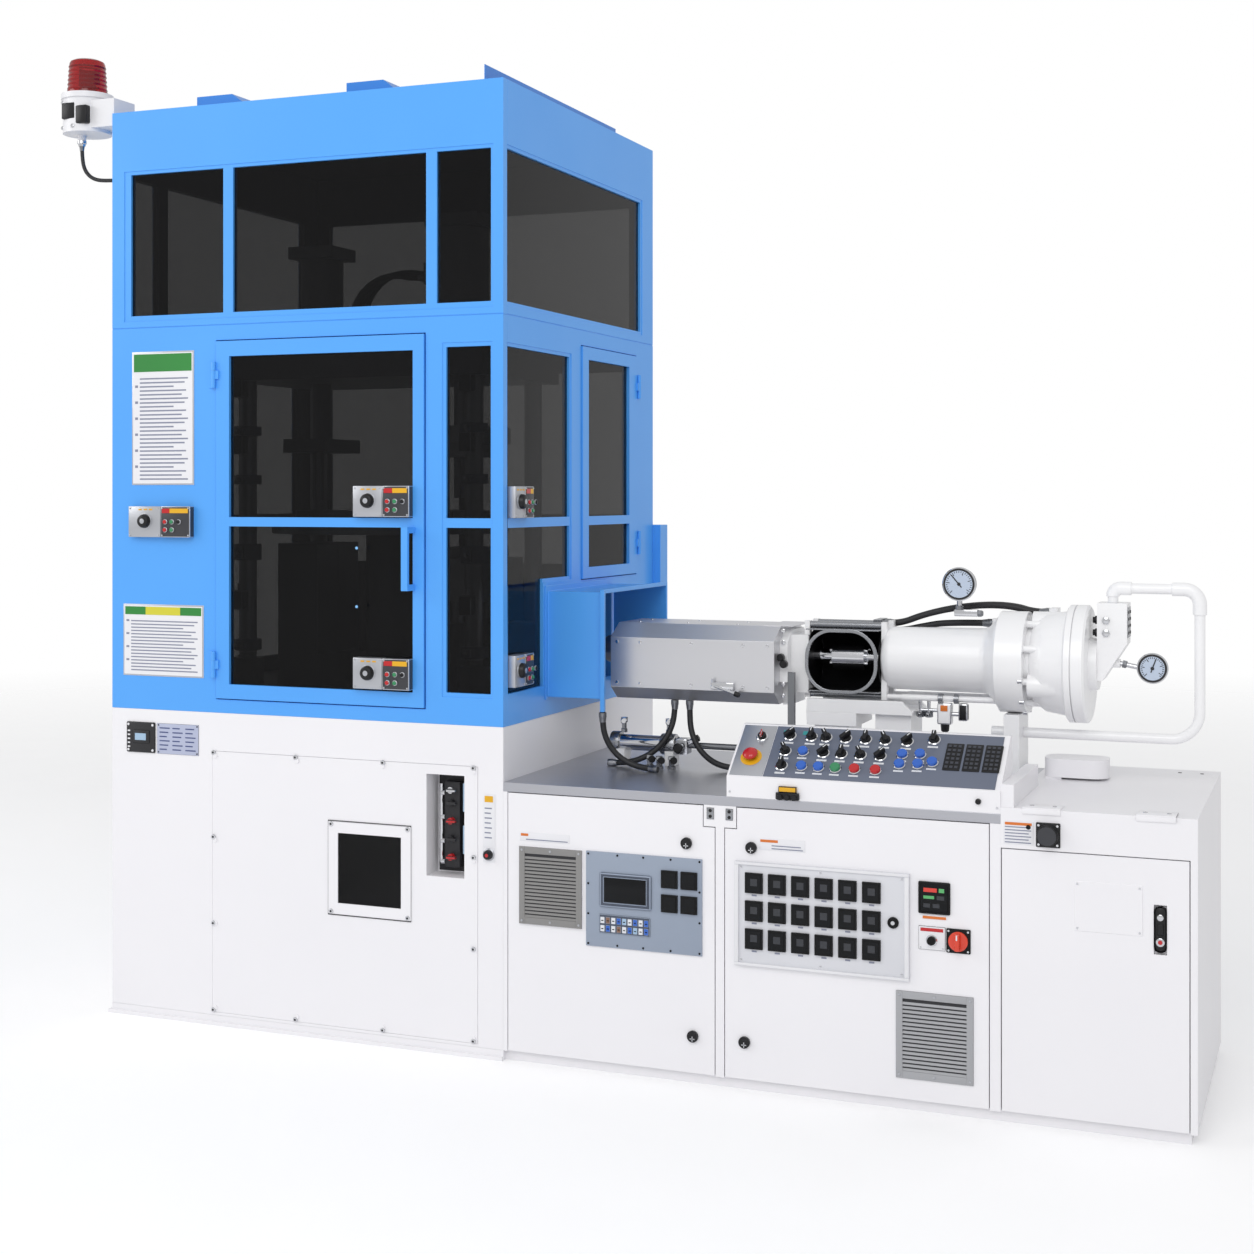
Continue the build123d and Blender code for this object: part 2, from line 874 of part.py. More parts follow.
def cavity_platen():
    """The injection cavity block on its lifting platen, at the barrel's side."""
    x = station_x + 40
    top = turntable_height - cavity_clearance
    low = top - cavity_height - cavity_plate
    shape = slab(x - 120, x + 120, -170, 170, low, low + cavity_plate)
    shape += slab(x - 100, x + 100, -90, 90, low + cavity_plate, top)
    for y in (-130, 130):
        shape += round_z(lift_top() - 90, low, x, y, 22)
    return shape


cavity_clearance = 50
cavity_height = 40
cavity_plate = 150
lift_stroke = 80


def lift_top():
    """The top of the lift cylinders, below the platen by their stroke."""
    return turntable_height - cavity_clearance - cavity_height - cavity_plate - lift_stroke


def lift_cylinders():
    """The two short cylinders that raise the cavity platen."""
    pieces = []
    for y in (-130, 130):
        body = round_z(table_top, lift_top(), station_x + 40, y, 48)
        body -= round_z(table_top + 20, lift_top(), station_x + 40, y, 22 + running)
        pieces.append(body)
    return Compound(pieces)


def core_platen():
    """The core rods of the injection station on their piston rod."""
    shape = slab(station_x - 110, station_x + 110, -170, 170, turntable_height + 330, turntable_height + 390)
    shape += slab(station_x - 80, station_x + 80, -100, 100, turntable_height + 280, turntable_height + 330)
    for y in neck_places:
        shape += round_z(turntable_height + 130, turntable_height + 280, station_x, y, core_radius)
    low = turntable_height + 390
    return shape + round_z(low, platen_underside + platen_height + 30, station_x, 0, 36)


def blow_mould(side):
    """One half of the blow mould, on its guide shoe."""
    y0, y1 = sorted((side * clear / 2, side * 150))
    shape = slab(blow_x - 100, blow_x + 70, y0, y1, table_top + 120, turntable_height - 40)
    shape += slab(blow_x - 100, blow_x + 80, y0, y1, table_top + clear, table_top + 120)
    return shape


def stretch_unit():
    """The stretch rods of the blow station on their piston rod."""
    shape = slab(blow_x - 90, blow_x + 90, -130, 130, turntable_height + 300, turntable_height + 350)
    for y in neck_places:
        shape += round_z(turntable_height + 120, turntable_height + 300, blow_x, y, 7)
    low = turntable_height + 350
    return shape + round_z(low, platen_underside + platen_height + 30, blow_x, 0, 36)


def tower_hoses():
    """Hydraulic hoses that arch from the right-hand clamp cylinder to the wall manifold."""
    pieces = []
    low = platen_underside + platen_height
    for n in range(3):
        start = (station_x - port_reach, -52 + 52 * n, low + port_height + 12 * n)
        points = droop(*start, -1, 62, (0, -12, 4, 24, 44, 64, 82), 0)
        points.append((points[-1][0], points[-1][1], low))
        pieces.append(hose(points, 22, "tower_hose " + str(n + 1)))
    return Compound(pieces)


for name, shape in (
    ("base_frame", base_frame()),
    ("base_casing", base_casing()),
    ("service_panel", service_panel()),
    ("guard_lower_front", guard_lower_front()),
    ("guard_lower_right", guard_lower_right()),
    ("guard_upper_front", guard_upper_front()),
    ("guard_upper_right", guard_upper_right()),
    ("guard_left", guard_left()),
    ("guard_rear", guard_rear()),
    ("fixed_panes", fixed_panes()),
    ("roof", roof()),
    ("front_door", front_door()),
    ("front_door_panes", front_door_panes()),
    ("front_door_switches", door_switches()),
    ("side_door", side_door()),
    ("side_door_panes", side_door_panes()),
    ("hinge_leaves", hinge_leaves()),
    ("barrel_guard", barrel_guard()),
    ("tower_devices", tower_devices()),
    ("beacon_base", beacon_base()),
    ("beacon_dome", beacon_dome()),
    ("beacon_rotor", beacon_rotor()),
    ("beacon_cable", beacon_cable()),
    ("clamp_frame", Compound([clamp_frame(), turntable_post(), lift_cylinders(), hot_runner()])),
    ("turntable", turntable()),
    ("cavity_platen", cavity_platen()),
    ("core_platen", core_platen()),
    ("blow_mould_front", blow_mould(-1)),
    ("blow_mould_rear", blow_mould(1)),
    ("stretch_unit", stretch_unit()),
    ("tower_hoses", tower_hoses()),
):
    keep(name, shape)


# Electrical cabinets: open-fronted boxes, each closed by a flush door
door_low = frame_height + door_seam
door_high = cabinet_height - door_seam
stop_lip = 12
head_width = 36
head_height = 64
lip_gap = 0.5
top_strip = 121


def cabinet_doors():
    """Left and right edge, and bottom and top, of each cabinet door."""
    return (
        (cabinet_sheet, cabinet_1_width - cabinet_sheet, door_low, door_high),
        (cabinet_2_left + cabinet_sheet - 2, cabinet_3_left - cabinet_post, door_low, door_high),
        (cabinet_3_left + 4, machine_end - 23, door_low, cabinet_3_height - top_strip),
    )


def bay(shape, span):
    """Cuts the doorway and the space behind it out of a cabinet."""
    x0, x1, z0, z1 = span
    back = front_face + cabinet_door + lip_gap
    shape -= slab(x0 - door_seam, x1 + door_seam, front_face, back, z0 - door_seam, z1 + door_seam)
    inner = slab(
        x0 + stop_lip, x1 - stop_lip, front_face, cabinet_rear - cabinet_sheet, z0 + stop_lip, z1 - stop_lip
    )
    return shape - inner


def post_head(grow):
    """The wider head of the post between the two left-hand doors."""
    one, two, three = cabinet_doors()
    return slab(
        one[1] - head_width - grow,
        two[0] + head_width + grow,
        front_face,
        front_face + cabinet_door,
        door_high - head_height - grow,
        cabinet_height,
    )


def cabinet_shell():
    shape = slab(0, cabinet_3_left, front_face, cabinet_rear, frame_height, cabinet_height)
    for span in cabinet_doors()[:2]:
        shape = bay(shape, span)
    return shape + post_head(0)


def cabinet_right():
    shape = slab(cabinet_3_left, machine_end, front_face, cabinet_rear, frame_height, cabinet_3_height)
    shape = bay(shape, cabinet_doors()[2])
    for x in (cabinet_3_left + 63, machine_end - 169):
        shape += slab(x, x + 110, front_face - 4, front_face + 75, cabinet_3_height, cabinet_3_height + 4)
        shape += slab(x, x + 110, front_face - 4, front_face, cabinet_3_height - 14, cabinet_3_height)
    return shape


arm_width = 38
arm_height = 67
tray_left = cabinet_3_left + 30
tray_length = 201
tray_width = 130
tray_foot = 7
tray_height = 59


def cable_tray():
    """The closed cable channel beside the console, and the rounded tray behind it."""
    z0 = cabinet_3_height
    x0 = cabinet_3_left
    channel = slab(x0, x0 + arm_width, front_face + 4, front_face + 450, z0, z0 + arm_height)
    middle = Pos(tray_left + tray_length / 2, 10, z0 + tray_foot + tray_height / 2)
    tray = middle * extrude(RectangleRounded(tray_length, tray_width, 48), amount=tray_height / 2, both=True)
    foot = slab(tray_left + 8, tray_left + 58, -50, 70, z0, z0 + tray_foot)
    return [channel, tray, foot]


def worktop_plate():
    return slab(0, cabinet_3_left, front_face, cabinet_rear, cabinet_height, worktop_top)


# Quarter-turn latches of the left-hand doors: (door number, x, z)
latch_shaft = 9
latch_head = 18


def latch_places():
    one, two, three = cabinet_doors()
    return (
        (one[1] - 92, door_high - 121),
        (one[1] - 71, door_low + 115),
        (two[0] + 86, door_high - 120),
        (two[0] + 64, door_low + 115),
    )


def latch(x, z):
    back = front_face + cabinet_door
    shape = round_y(front_face - 9, front_face - clear, x, z, latch_head)
    shape += round_y(front_face - clear, back + clear, x, z, latch_shaft)
    return shape + slab(x - 12, x + 12, back + clear, back + clear + 4, z - 32, z + 12)


def door_slab(span):
    x0, x1, z0, z1 = span
    return slab(x0, x1, front_face, front_face + cabinet_door, z0, z1)


# Louvred vents let into the doors
vent_slats = 14


def vent(x0, x1, z0, z1):
    """A framed block of slanted slats that stands 4 mm proud of its door."""
    back = front_face + cabinet_door
    shape = slab(x0, x1, front_face - 4, back, z0, z1)
    shape -= slab(x0 + 22, x1 - 22, front_face - 4, back, z0 + 26, z1 - 26)
    pitch = (z1 - z0 - 56) / vent_slats
    for n in range(vent_slats):
        low = z0 + 28 + pitch * n
        slat = (
            (front_face - 3, low),
            (front_face + 12, low + pitch * 0.75),
            (front_face + 12, low + pitch),
            (front_face - 3, low + pitch * 0.3),
        )
        shape += prism_x(slat, x0 + 21, x1 - 21)
    return shape


console_panel_width = 392
console_panel_left = cabinet_1_width - 58 - console_panel_width
console_panel_right = console_panel_left + console_panel_width
vent_1 = (60, console_panel_left - 14, 454, 704)
vent_2 = (cabinet_2_left + 555, cabinet_2_left + 787, 99, 359)


def vent_hole(place):
    x0, x1, z0, z1 = place
    return slab(x0, x1, front_face, front_face + cabinet_door, z0, z1)


console_panel_low = 403
console_panel_high = 705
panel_proud = 5


def cabinet_door_1():
    shape = door_slab(cabinet_doors()[0]) - post_head(door_seam) - vent_hole(vent_1)
    for x, z in latch_places()[:2]:
        shape -= round_y(front_face, front_face + cabinet_door, x, z, latch_shaft + running)
    return shape


def control_panel():
    """The operator panel let on to the first door: screen, keypad and four instruments."""
    y0 = front_face - panel_proud
    shape = slab(console_panel_left, console_panel_right, y0, front_face, console_panel_low, console_panel_high)
    screen_x = console_panel_left + 49
    shape += slab(screen_x, screen_x + 175, y0 - 6, y0, console_panel_low + 129, console_panel_low + 238)
    for row in range(2):
        for column in range(9):
            x = console_panel_left + 48 + 19 * column
            z = console_panel_low + 51 + 26 * row
            shape += slab(x, x + 15, y0 - 3, y0, z, z + 20)
    for x in (console_panel_left + 260, console_panel_left + 325):
        for z in (console_panel_low + 131, console_panel_low + 207):
            shape += slab(x, x + 50, y0 - 6, y0, z, z + 51)
    return shape


temperature_left = cabinet_2_left + 50
temperature_right = temperature_left + 547
temperature_low = 391
temperature_high = 710
temperature_sheet = 14
temperature_columns = 6
temperature_rows = 3
switch_x = cabinet_2_left + 743
switch_z = 522


def cabinet_door_2():
    shape = door_slab(cabinet_doors()[1]) - post_head(door_seam) - vent_hole(vent_2)
    for x, z in latch_places()[2:]:
        shape -= round_y(front_face, front_face + cabinet_door, x, z, latch_shaft + running)
    shape -= round_y(front_face, front_face + cabinet_door, switch_x, switch_z, 5 + running)
    shape -= slab(
        temperature_left + 22,
        temperature_right - 22,
        front_face,
        front_face + cabinet_door,
        temperature_low + 22,
        temperature_high - 22,
    )
    return shape


def temperature_panel():
    """The hinged panel that carries the temperature controllers of the barrel zones."""
    y1 = front_face - clear
    y0 = y1 - temperature_sheet
    shape = slab(temperature_left, temperature_right, y0, y1, temperature_low, temperature_high)
    shape -= slab(
        temperature_left + 14, temperature_right - 14, y0, y0 + 4, temperature_low + 9, temperature_high - 9
    )
    for column in range(temperature_columns):
        for row in range(temperature_rows):
            x = temperature_left + 39 + 73.8 * column
            z = temperature_low + 55 + 86 * row
            shape += slab(x, x + 50, y0 - 2, y0 + 4, z, z + 58)
    latch_x = temperature_right - 48
    return shape + round_y(y0 - 6, y0 + 4, latch_x, (temperature_low + temperature_high) / 2 + 11, 14)


def door_instruments():
    """The controller, the switch plates and the vent of the second door."""
    main = slab(switch_x - 36, switch_x + 36, front_face - 5, front_face, switch_z - 36, switch_z + 36)
    main -= round_y(front_face - 5, front_face, switch_x, switch_z, 5 + running)
    plate = slab(switch_x - 119, switch_x - 39, front_face - 4, front_face, switch_z - 33, switch_z + 37)
    return Compound(
        [
            slab(switch_x - 120, switch_x - 24, front_face - 8, front_face, switch_z + 74, switch_z + 170),
            plate + round_y(front_face - 22, front_face, switch_x - 79, switch_z + 2, 15),
            main,
            vent(*vent_2),
        ]
    )


def main_switch_knob():
    low = front_face - 5 - clear
    shape = round_y(low - 9, low, switch_x, switch_z, 26)
    shape += slab(switch_x - 7, switch_x + 7, low - 27, low - 9, switch_z - 25, switch_z + 25)
    return shape + round_y(low, front_face + cabinet_door + 14, switch_x, switch_z, 5)


handle_x = machine_end - 102
handle_low = 528
handle_high = 681
handle_depth = 14


def cabinet_door_3():
    shape = door_slab(cabinet_doors()[2])
    shape -= slab(
        handle_x - 18, handle_x + 18, front_face, front_face + handle_depth, handle_low + 6, handle_high - 6
    )
    plate = slab(
        cabinet_3_left + 213, cabinet_3_left + 403, front_face - 2, front_face, 583, 726
    )
    return shape + plate


def latch_handle():
    """The lift handle that lies flush in the third door and swings out about its foot."""
    pivot = handle_low + 20
    shape = slab(handle_x - 14, handle_x + 14, front_face - 3, front_face + 9, handle_low + 14, handle_high - 12)
    shape += round_x(handle_x - 17.9, handle_x + 17.9, front_face + 5, pivot, 4)
    return shape


def right_socket():
    """The round service socket on the right cabinet, on its square flange."""
    shape = slab(
        cabinet_3_left + 103, cabinet_3_left + 173, front_face - 6, front_face, cabinet_3_height - 108, cabinet_3_height - 36
    )
    return shape + round_y(front_face - 26, front_face - 6, cabinet_3_left + 136, cabinet_3_height - 72, 30)


# Console: a sloping panel on the worktop
console_slope = math.degrees(math.atan2(console_rise, console_run))
console_plane = Plane(
    origin=(0, front_face, worktop_top + console_front),
    x_dir=(1, 0, 0),
    z_dir=(0, -math.sin(math.radians(console_slope)), math.cos(math.radians(console_slope))),
)
slope_length = math.hypot(console_rise, console_run)
stop_x = console_left + 60
stop_s = 82
stop_stem = 9
stop_travel = 6
control_pitch = 60


def on_slope(x, s, h0, h1, radius):
    """A round control that stands on the sloping panel."""
    return console_plane.location * Pos(x, s, (h0 + h1) / 2) * Cylinder(radius, h1 - h0)


def block_on_slope(x0, x1, s0, s1, h0, h1):
    """A box that stands on the sloping panel."""
    middle = Pos((x0 + x1) / 2, (s0 + s1) / 2, (h0 + h1) / 2)
    return console_plane.location * middle * Box(x1 - x0, s1 - s0, h1 - h0)


def console_body():
    z0 = worktop_top
    outline = (
        (front_face, z0),
        (front_face, z0 + console_front),
        (front_face + console_run, z0 + console_front + console_rise),
        (front_face + console_run + 22, z0 + console_front + console_rise),
        (front_face + console_run + 22, z0),
    )
    shape = prism_x(outline, console_left, console_right)
    return shape - on_slope(stop_x, stop_s, -40, 0, stop_stem + running)


def control_places():
    """The rows of selectors and buttons: x, distance up the slope, and whether it is a selector."""
    first = console_left + 165
    for column in range(7):
        yield first + control_pitch * column, 178, True
    for column in range(8):
        yield first + control_pitch * column, 112, column not in (1, 6, 7)
    for column in range(6):
        yield first + control_pitch * column, 51, column == 0
    for column in range(3):
        yield first + control_pitch * (column + 6) - 8 * column, 78, False


def console_controls():
    """The grey panel with its fixed controls, the key matrix and the emergency stop's ring."""
    shape = block_on_slope(
        console_left + 116, console_right - 17, 6, slope_length - 6, 0, console_plate
    )
    for x, s, selector in control_places():
        shape += on_slope(x, s, console_plate, 10, 15)
        if selector:
            shape += block_on_slope(x - 6, x + 6, s - 14, s + 14, 10, 24)
        else:
            shape += on_slope(x, s, 10, 16, 11)
    for column in range(3):
        for row in range(3):
            x = console_right - 192 + 58 * column
            s = 72 + 36 * row
            shape += block_on_slope(x, x + 48, s, s + 28, console_plate, 7)
    ring = on_slope(stop_x, stop_s, 0, 5, 30) - on_slope(stop_x, stop_s, 0, 5, stop_stem + running)
    key = on_slope(stop_x + 16, 168, 0, 14, 16)
    return Compound([shape, ring, key])


def emergency_stop():
    shape = on_slope(stop_x, stop_s, -30, 5 + stop_travel + 1, stop_stem)
    head = on_slope(stop_x, stop_s, 5 + stop_travel + 1, 26, 20)
    top = head.faces().sort_by(Axis(console_plane.origin, console_plane.z_dir))[-1]
    return shape + fillet(top.edges(), 6)


# Injection unit. The bed stands on the worktop; everything above it slides together.
neck_start = plate_start + plate_thickness
window_start = neck_start + neck_length
housing_start = window_start + window_length
flange_start = cabinet_3_left - flange_setback
flare_start = flange_start - flare_length
flange_end = flange_start + flange_thickness
bell_start = flange_end + 14
bell_end = bell_start + 114
end_flange_end = bell_end + 68
hub_end = end_flange_end + 25
manifold_end = hub_end + 93
gauge_boss_end = manifold_end - 25
bed_start = neck_start + 62
bed_end = bed_start + 359
bed_half = 110
bed_plate = 15
bed_low = barrel_axis - 180
bed_drop = 44
bed_top = barrel_axis - 135
neck_half = 80
post_start = flange_start + 20
cover_drop = 158
cover_lip = 17
throat_radius = 18
throat_x = neck_start + cover_lip + throat_radius + 2
touch_axis = worktop_top + 73
touch_y = -100
touch_rod_radius = 11


def injection_bed():
    inside = bed_half - bed_plate
    slope = ((bed_end - 36, bed_top), (bed_end, bed_top - 36), (bed_end, bed_top))
    pieces = [slab(bed_start, bed_end, -inside, inside, bed_low, bed_low + bed_plate)]
    for y in (-bed_half, inside):
        side = slab(bed_start, bed_end, y, y + bed_plate, bed_low, bed_top)
        pieces.append(side - prism_y(slope, y, y + bed_plate))
    pieces.append(slab(bed_start, bed_start + 170, -bed_half, bed_half, bed_low - bed_drop, bed_low))
    pedestal_width = bed_half - 25
    for x, top in ((bed_start + 20, bed_low - bed_drop), (bed_end - 130, bed_low)):
        pieces.append(slab(x, x + 120, -pedestal_width, pedestal_width, worktop_top, top))
    post_end = post_start + 50
    post = slab(post_start, post_end, -90, 90, worktop_top, barrel_axis - flange_radius - clear)
    pieces.append(post - round_x(post_start, post_end, 0, pipe_low, pipe_diameter / 2 + running))
    return Compound(pieces)


def cover_outline(inset):
    """Half of the heater cover's section, mirrored: flat sides with chamfers above and below."""
    side = 190 - inset
    top = 112 - inset * 0.4
    low = 130 - inset * 0.4
    z = barrel_axis
    right = (
        (low, z - cover_drop + inset),
        (side, z - 115 + inset * 0.4),
        (side, z + 57 - inset * 0.4),
        (top, z + 102 - inset),
    )
    return right + tuple((-y, h) for y, h in reversed(right))


def heater_cover():
    shape = prism_x(cover_outline(0), cover_start, plate_start)
    shape -= prism_x(cover_outline(cover_sheet), cover_start, plate_start - cover_sheet)
    shape -= round_x(cover_start, plate_start, 0, barrel_axis, barrel_radius + 1)
    top = barrel_axis + 102
    return shape + slab(plate_start - 60, neck_start + cover_lip, -112, 112, top, top + cover_sheet)


def barrel():
    """The heated barrel with its nozzle and heater bands."""
    z = barrel_axis
    points = [
        (nozzle_tip, 0),
        (nozzle_tip, 12),
        (nozzle_tip + 25, 20),
        (nozzle_tip + 130, 20),
        (nozzle_tip + 130, 34),
        (nozzle_tip + 200, 34),
        (nozzle_tip + 230, barrel_radius),
        (plate_start, barrel_radius),
        (plate_start, 0),
    ]
    shape = turned_x(points, 0, z)
    for n in range(4):
        x = cover_start + 20 + 140 * n
        shape += round_x(x, x + 110, 0, z, barrel_radius + 12)
    return shape


def feed_block():
    """The white end plate of the barrel and the feed block behind it, with the hopper's throat."""
    z = barrel_axis
    half = ((-88, z - 163), (-88, z - 90), (-125, z - 84), (-125, z + 50), (-70, z + 90))
    outline = half + tuple((-y, h) for y, h in reversed(half))
    shape = prism_x(outline, plate_start, neck_start)
    shape += slab(neck_start, window_start, -neck_half, neck_half, z - 121, z + 74)
    for y in (-50, 50):
        shape += slab(window_start - 18, window_start, y - 14, y + 14, z - tie_drop - 12, z + tie_rise + 12)
    shape -= round_x(window_start - 40, window_start, 0, z, shaft_radius + running)
    shape -= round_z(z + 30, z + 74, throat_x, 0, throat_radius)
    for side in (-1, 1):
        shape -= round_z(z + 50, z + 74, throat_x, side * 45, 4)
    return shape


shaft_radius = 22
tie_rise = 109
tie_drop = 125


def screw_shaft():
    """The rear shaft of the plasticising screw with its split coupling, in the oval window."""
    z = barrel_axis
    x = window_start
    shape = round_x(x - 39, housing_start + 150, 0, z, shaft_radius)
    shape += round_x(x + 70, x + 180, 0, z, 44)
    for turn in range(4):
        angle = math.radians(45 + 90 * turn)
        shape += round_x(x + 60, x + 190, 30 * math.cos(angle), z + 30 * math.sin(angle), 7)
    return shape


def coupling_guard():
    """The oval window round the coupling: a rim in front, a curved shield behind, tie bars outside."""
    z = barrel_axis - 8
    middle_x = (window_start + housing_start) / 2
    face = Plane(origin=(middle_x, -114, z), x_dir=(1, 0, 0), z_dir=(0, -1, 0))
    ring = RectangleRounded(window_length, 214, 92) - RectangleRounded(window_length - 22, 192, 81)
    rim = extrude(face * ring, amount=9)
    shield = round_x(window_start, housing_start, 0, z, 106) - round_x(window_start, housing_start, 0, z, 102)
    shield -= slab(window_start, housing_start, -106, 0, z - 106, z + 106)
    shield += slab(window_start, housing_start, -114, 0, z + 102, z + 106)
    shield += slab(window_start, housing_start, -90, 0, z - 106, z - 102)
    pieces = [rim, shield]
    for y in (-50, 50):
        for h in (barrel_axis - tie_drop, barrel_axis + tie_rise):
            pieces.append(round_x(window_start, housing_start, y, h, 11))
    fitting = slab(hose_start - 26, hose_start, 32, 128, z + 80, z + 132)
    fitting -= round_x(hose_start - 26, hose_start, 50, barrel_axis + tie_rise, 11)
    fitting -= round_x(hose_start - 26, hose_start, 0, z, 106)
    return Compound(pieces + [fitting])


hose_start = window_start + 221
hose_block = 24


def drive_unit():
    """Injection housing, bell housing, end flange and hydraulic motor, bolted face to face."""
    z = barrel_axis
    housing = turned_x(
        [
            (housing_start, 40),
            (housing_start, housing_radius - 24),
            (housing_start + 5, housing_radius - 12),
            (housing_start + 16, housing_radius - 4),
            (housing_start + 34, housing_radius),
            (flare_start, housing_radius + 3),
            (flare_start + 18, housing_radius + 9),
            (flare_start + 34, 130),
            (flange_start - 10, 148),
            (flange_start, 156),
            (flange_start, flange_radius),
            (flange_end, flange_radius),
            (flange_end, 0),
            (housing_start + 160, 0),
            (housing_start + 160, 40),
        ],
        0,
        z,
    )
    for side in (-1, 1):
        lug = slab(housing_start, housing_start + 18, side * 50 - 14, side * 50 + 14, z - tie_drop - 12, z + tie_rise + 12)
        housing += lug - round_x(housing_start, housing_start + 18, 0, z, 60)
        housing += round_x(housing_start + 18, housing_start + 67, side * 50, z - tie_drop, 8)
        housing += round_x(housing_start + 67, flare_start + 48, side * 50, z - tie_drop, 10)
    housing += slab(flare_start + 9, flare_start + 9 + hose_block, 84, 116, z + 60, z + 133)
    bell = turned_x(
        [
            (flange_end, 0),
            (flange_end, 118),
            (bell_start, 118),
            (bell_start + 8, 132),
            (bell_start + 45, 158),
            (bell_end, bell_radius),
            (bell_end, 0),
        ],
        0,
        z,
    )
    for turn in range(3):
        angle = math.radians(90 + 120 * turn)
        y = 128 * math.cos(angle)
        h = z + 128 * math.sin(angle)
        bell += round_x(bell_start, bell_end, y, h, 38)
    for turn in range(8):
        angle = math.radians(22.5 + 45 * turn)
        bell += round_x(flange_end, bell_start + 30, 138 * math.cos(angle), z + 138 * math.sin(angle), 11)
    bell += slab(bell_end - 76, bell_end - 50, 70, 146, z + 60, z + 172)
    end = turned_x(
        [
            (bell_end, 0),
            (bell_end, 182),
            (bell_end + 6, end_flange_radius),
            (bell_end + 24, end_flange_radius),
            (bell_end + 24, end_flange_radius - 8),
            (bell_end + 28, end_flange_radius - 8),
            (bell_end + 28, end_flange_radius),
            (end_flange_end - 6, end_flange_radius),
            (end_flange_end, 182),
            (end_flange_end, 86),
            (hub_end, 82),
            (hub_end, 0),
        ],
        0,
        z,
    )
    manifold = prism_y(
        (
            (hub_end, z + 200),
            (manifold_end, z + 200),
            (manifold_end, z + 72),
            (manifold_end - 77, z - 48),
            (hub_end, z - 48),
        ),
        -52,
        52,
    )
    manifold += round_x(hub_end + 30, gauge_boss_end, -8, z + 6, 14)
    return Compound([housing, bell, end, manifold])


gauge_1_x = flare_start - 82
gauge_1_z = barrel_axis + 251
gauge_2_x = manifold_end + 75
gauge_2_z = barrel_axis - 6


def gauge(x, z, radius):
    shape = round_y(-30, 2, x, z, radius)
    return shape + round_y(-34, -30, x, z, radius - 6)


def gauges():
    """Two pressure gauges on their stems."""
    top = barrel_axis + housing_radius + 2.4
    first = gauge(gauge_1_x, gauge_1_z, gauge_radius)
    first += round_z(top + 0.4, gauge_1_z - gauge_radius + 6, gauge_1_x, -8, 9)
    first += slab(gauge_1_x - 16, gauge_1_x + 62, -22, 6, top + 34, top + 58)
    second = gauge(gauge_2_x, gauge_2_z, gauge_radius - 7)
    second += round_x(gauge_boss_end, gauge_2_x - gauge_radius + 12, -8, gauge_2_z + 12, 8)
    return Compound([first, second])


pipe_low = barrel_axis - 230
pipe_high = barrel_axis + 246
pipe_right = machine_end - 43


def pipe():
    """The rigid oil pipe from the motor's manifold round and back through the flange's post."""
    x = hub_end + 44
    points = (
        (x, 0, barrel_axis + 200),
        (x, 0, pipe_high),
        (pipe_right, 0, pipe_high),
        (pipe_right, 0, pipe_low),
        (post_start - 54, 0, pipe_low),
    )
    path = FilletPolyline(*points, radius=[24, 48, 88])
    shape = sweep(Plane(path @ 0, z_dir=path % 0) * Circle(pipe_diameter / 2), path=path)
    low_elbow = ((x, 0, pipe_high - 26), (x, 0, pipe_high), (x + 58, 0, pipe_high))
    high_elbow = ((pipe_right - 84, 0, pipe_high), (pipe_right, 0, pipe_high), (pipe_right, 0, pipe_high - 80))
    for corner, bend in ((low_elbow, 24), (high_elbow, 48)):
        path = FilletPolyline(*corner, radius=bend)
        shape += sweep(Plane(path @ 0, z_dir=path % 0) * Circle(pipe_diameter / 2 + 5), path=path)
    return shape


def touch_cylinder():
    """The cylinder that draws the nozzle on to the mould, on two feet."""
    z = touch_axis
    shape = round_x(159, 364, touch_y, z, 26)
    shape += round_x(364, 400, touch_y, z, 34)
    shape -= round_x(190, 400, touch_y, z, touch_rod_radius + running)
    for x in (185, 366):
        shape += slab(x, x + 32, touch_y - 30, touch_y + 30, worktop_top, z - 20) - round_x(x, x + 32, touch_y, z, 24)
    return shape


def touch_rod():
    rod = round_x(300, neck_start, touch_y, touch_axis, touch_rod_radius)
    foot = slab(neck_start, neck_start + 24, -bed_half - 1, -88, touch_axis - 24, touch_axis + 24)
    arm = slab(neck_start, neck_start + 24, -bed_half - 15, -bed_half - 1, touch_axis - 24, barrel_axis - 50)
    return Compound([rod, foot, arm])


def arch_hoses():
    """Three hoses from the coupling guard over the injection housing to the bell housing."""
    pieces = []
    x0 = hose_start
    x1 = bell_end - 76
    z = barrel_axis
    for n in range(2):
        y = 86 + 28 * n
        points = (
            (x0, y - 2, z + 108),
            (x0 + 52, y - 2, z + 108),
            (x0 + 132, y + 4, z + 141),
            (x0 + 240, y + 8, z + 167),
            (x0 + 350, y + 6, z + 179),
            (x0 + 440, y + 2, z + 175),
            (x0 + 500, y, z + 157),
            (x1, y, z + 157),
        )
        pieces.append(hose(points, 22, "arch_hose " + str(n + 1)))
    points = (
        (x0, 90, z + 84),
        (x0 + 56, 90, z + 84),
        (x0 + 130, 98, z + 101),
        (x0 + 215, 100, z + 117),
        (flare_start + 9, 100, z + 117),
    )
    pieces.append(hose(points, 22, "arch_hose 3"))
    return Compound(pieces)


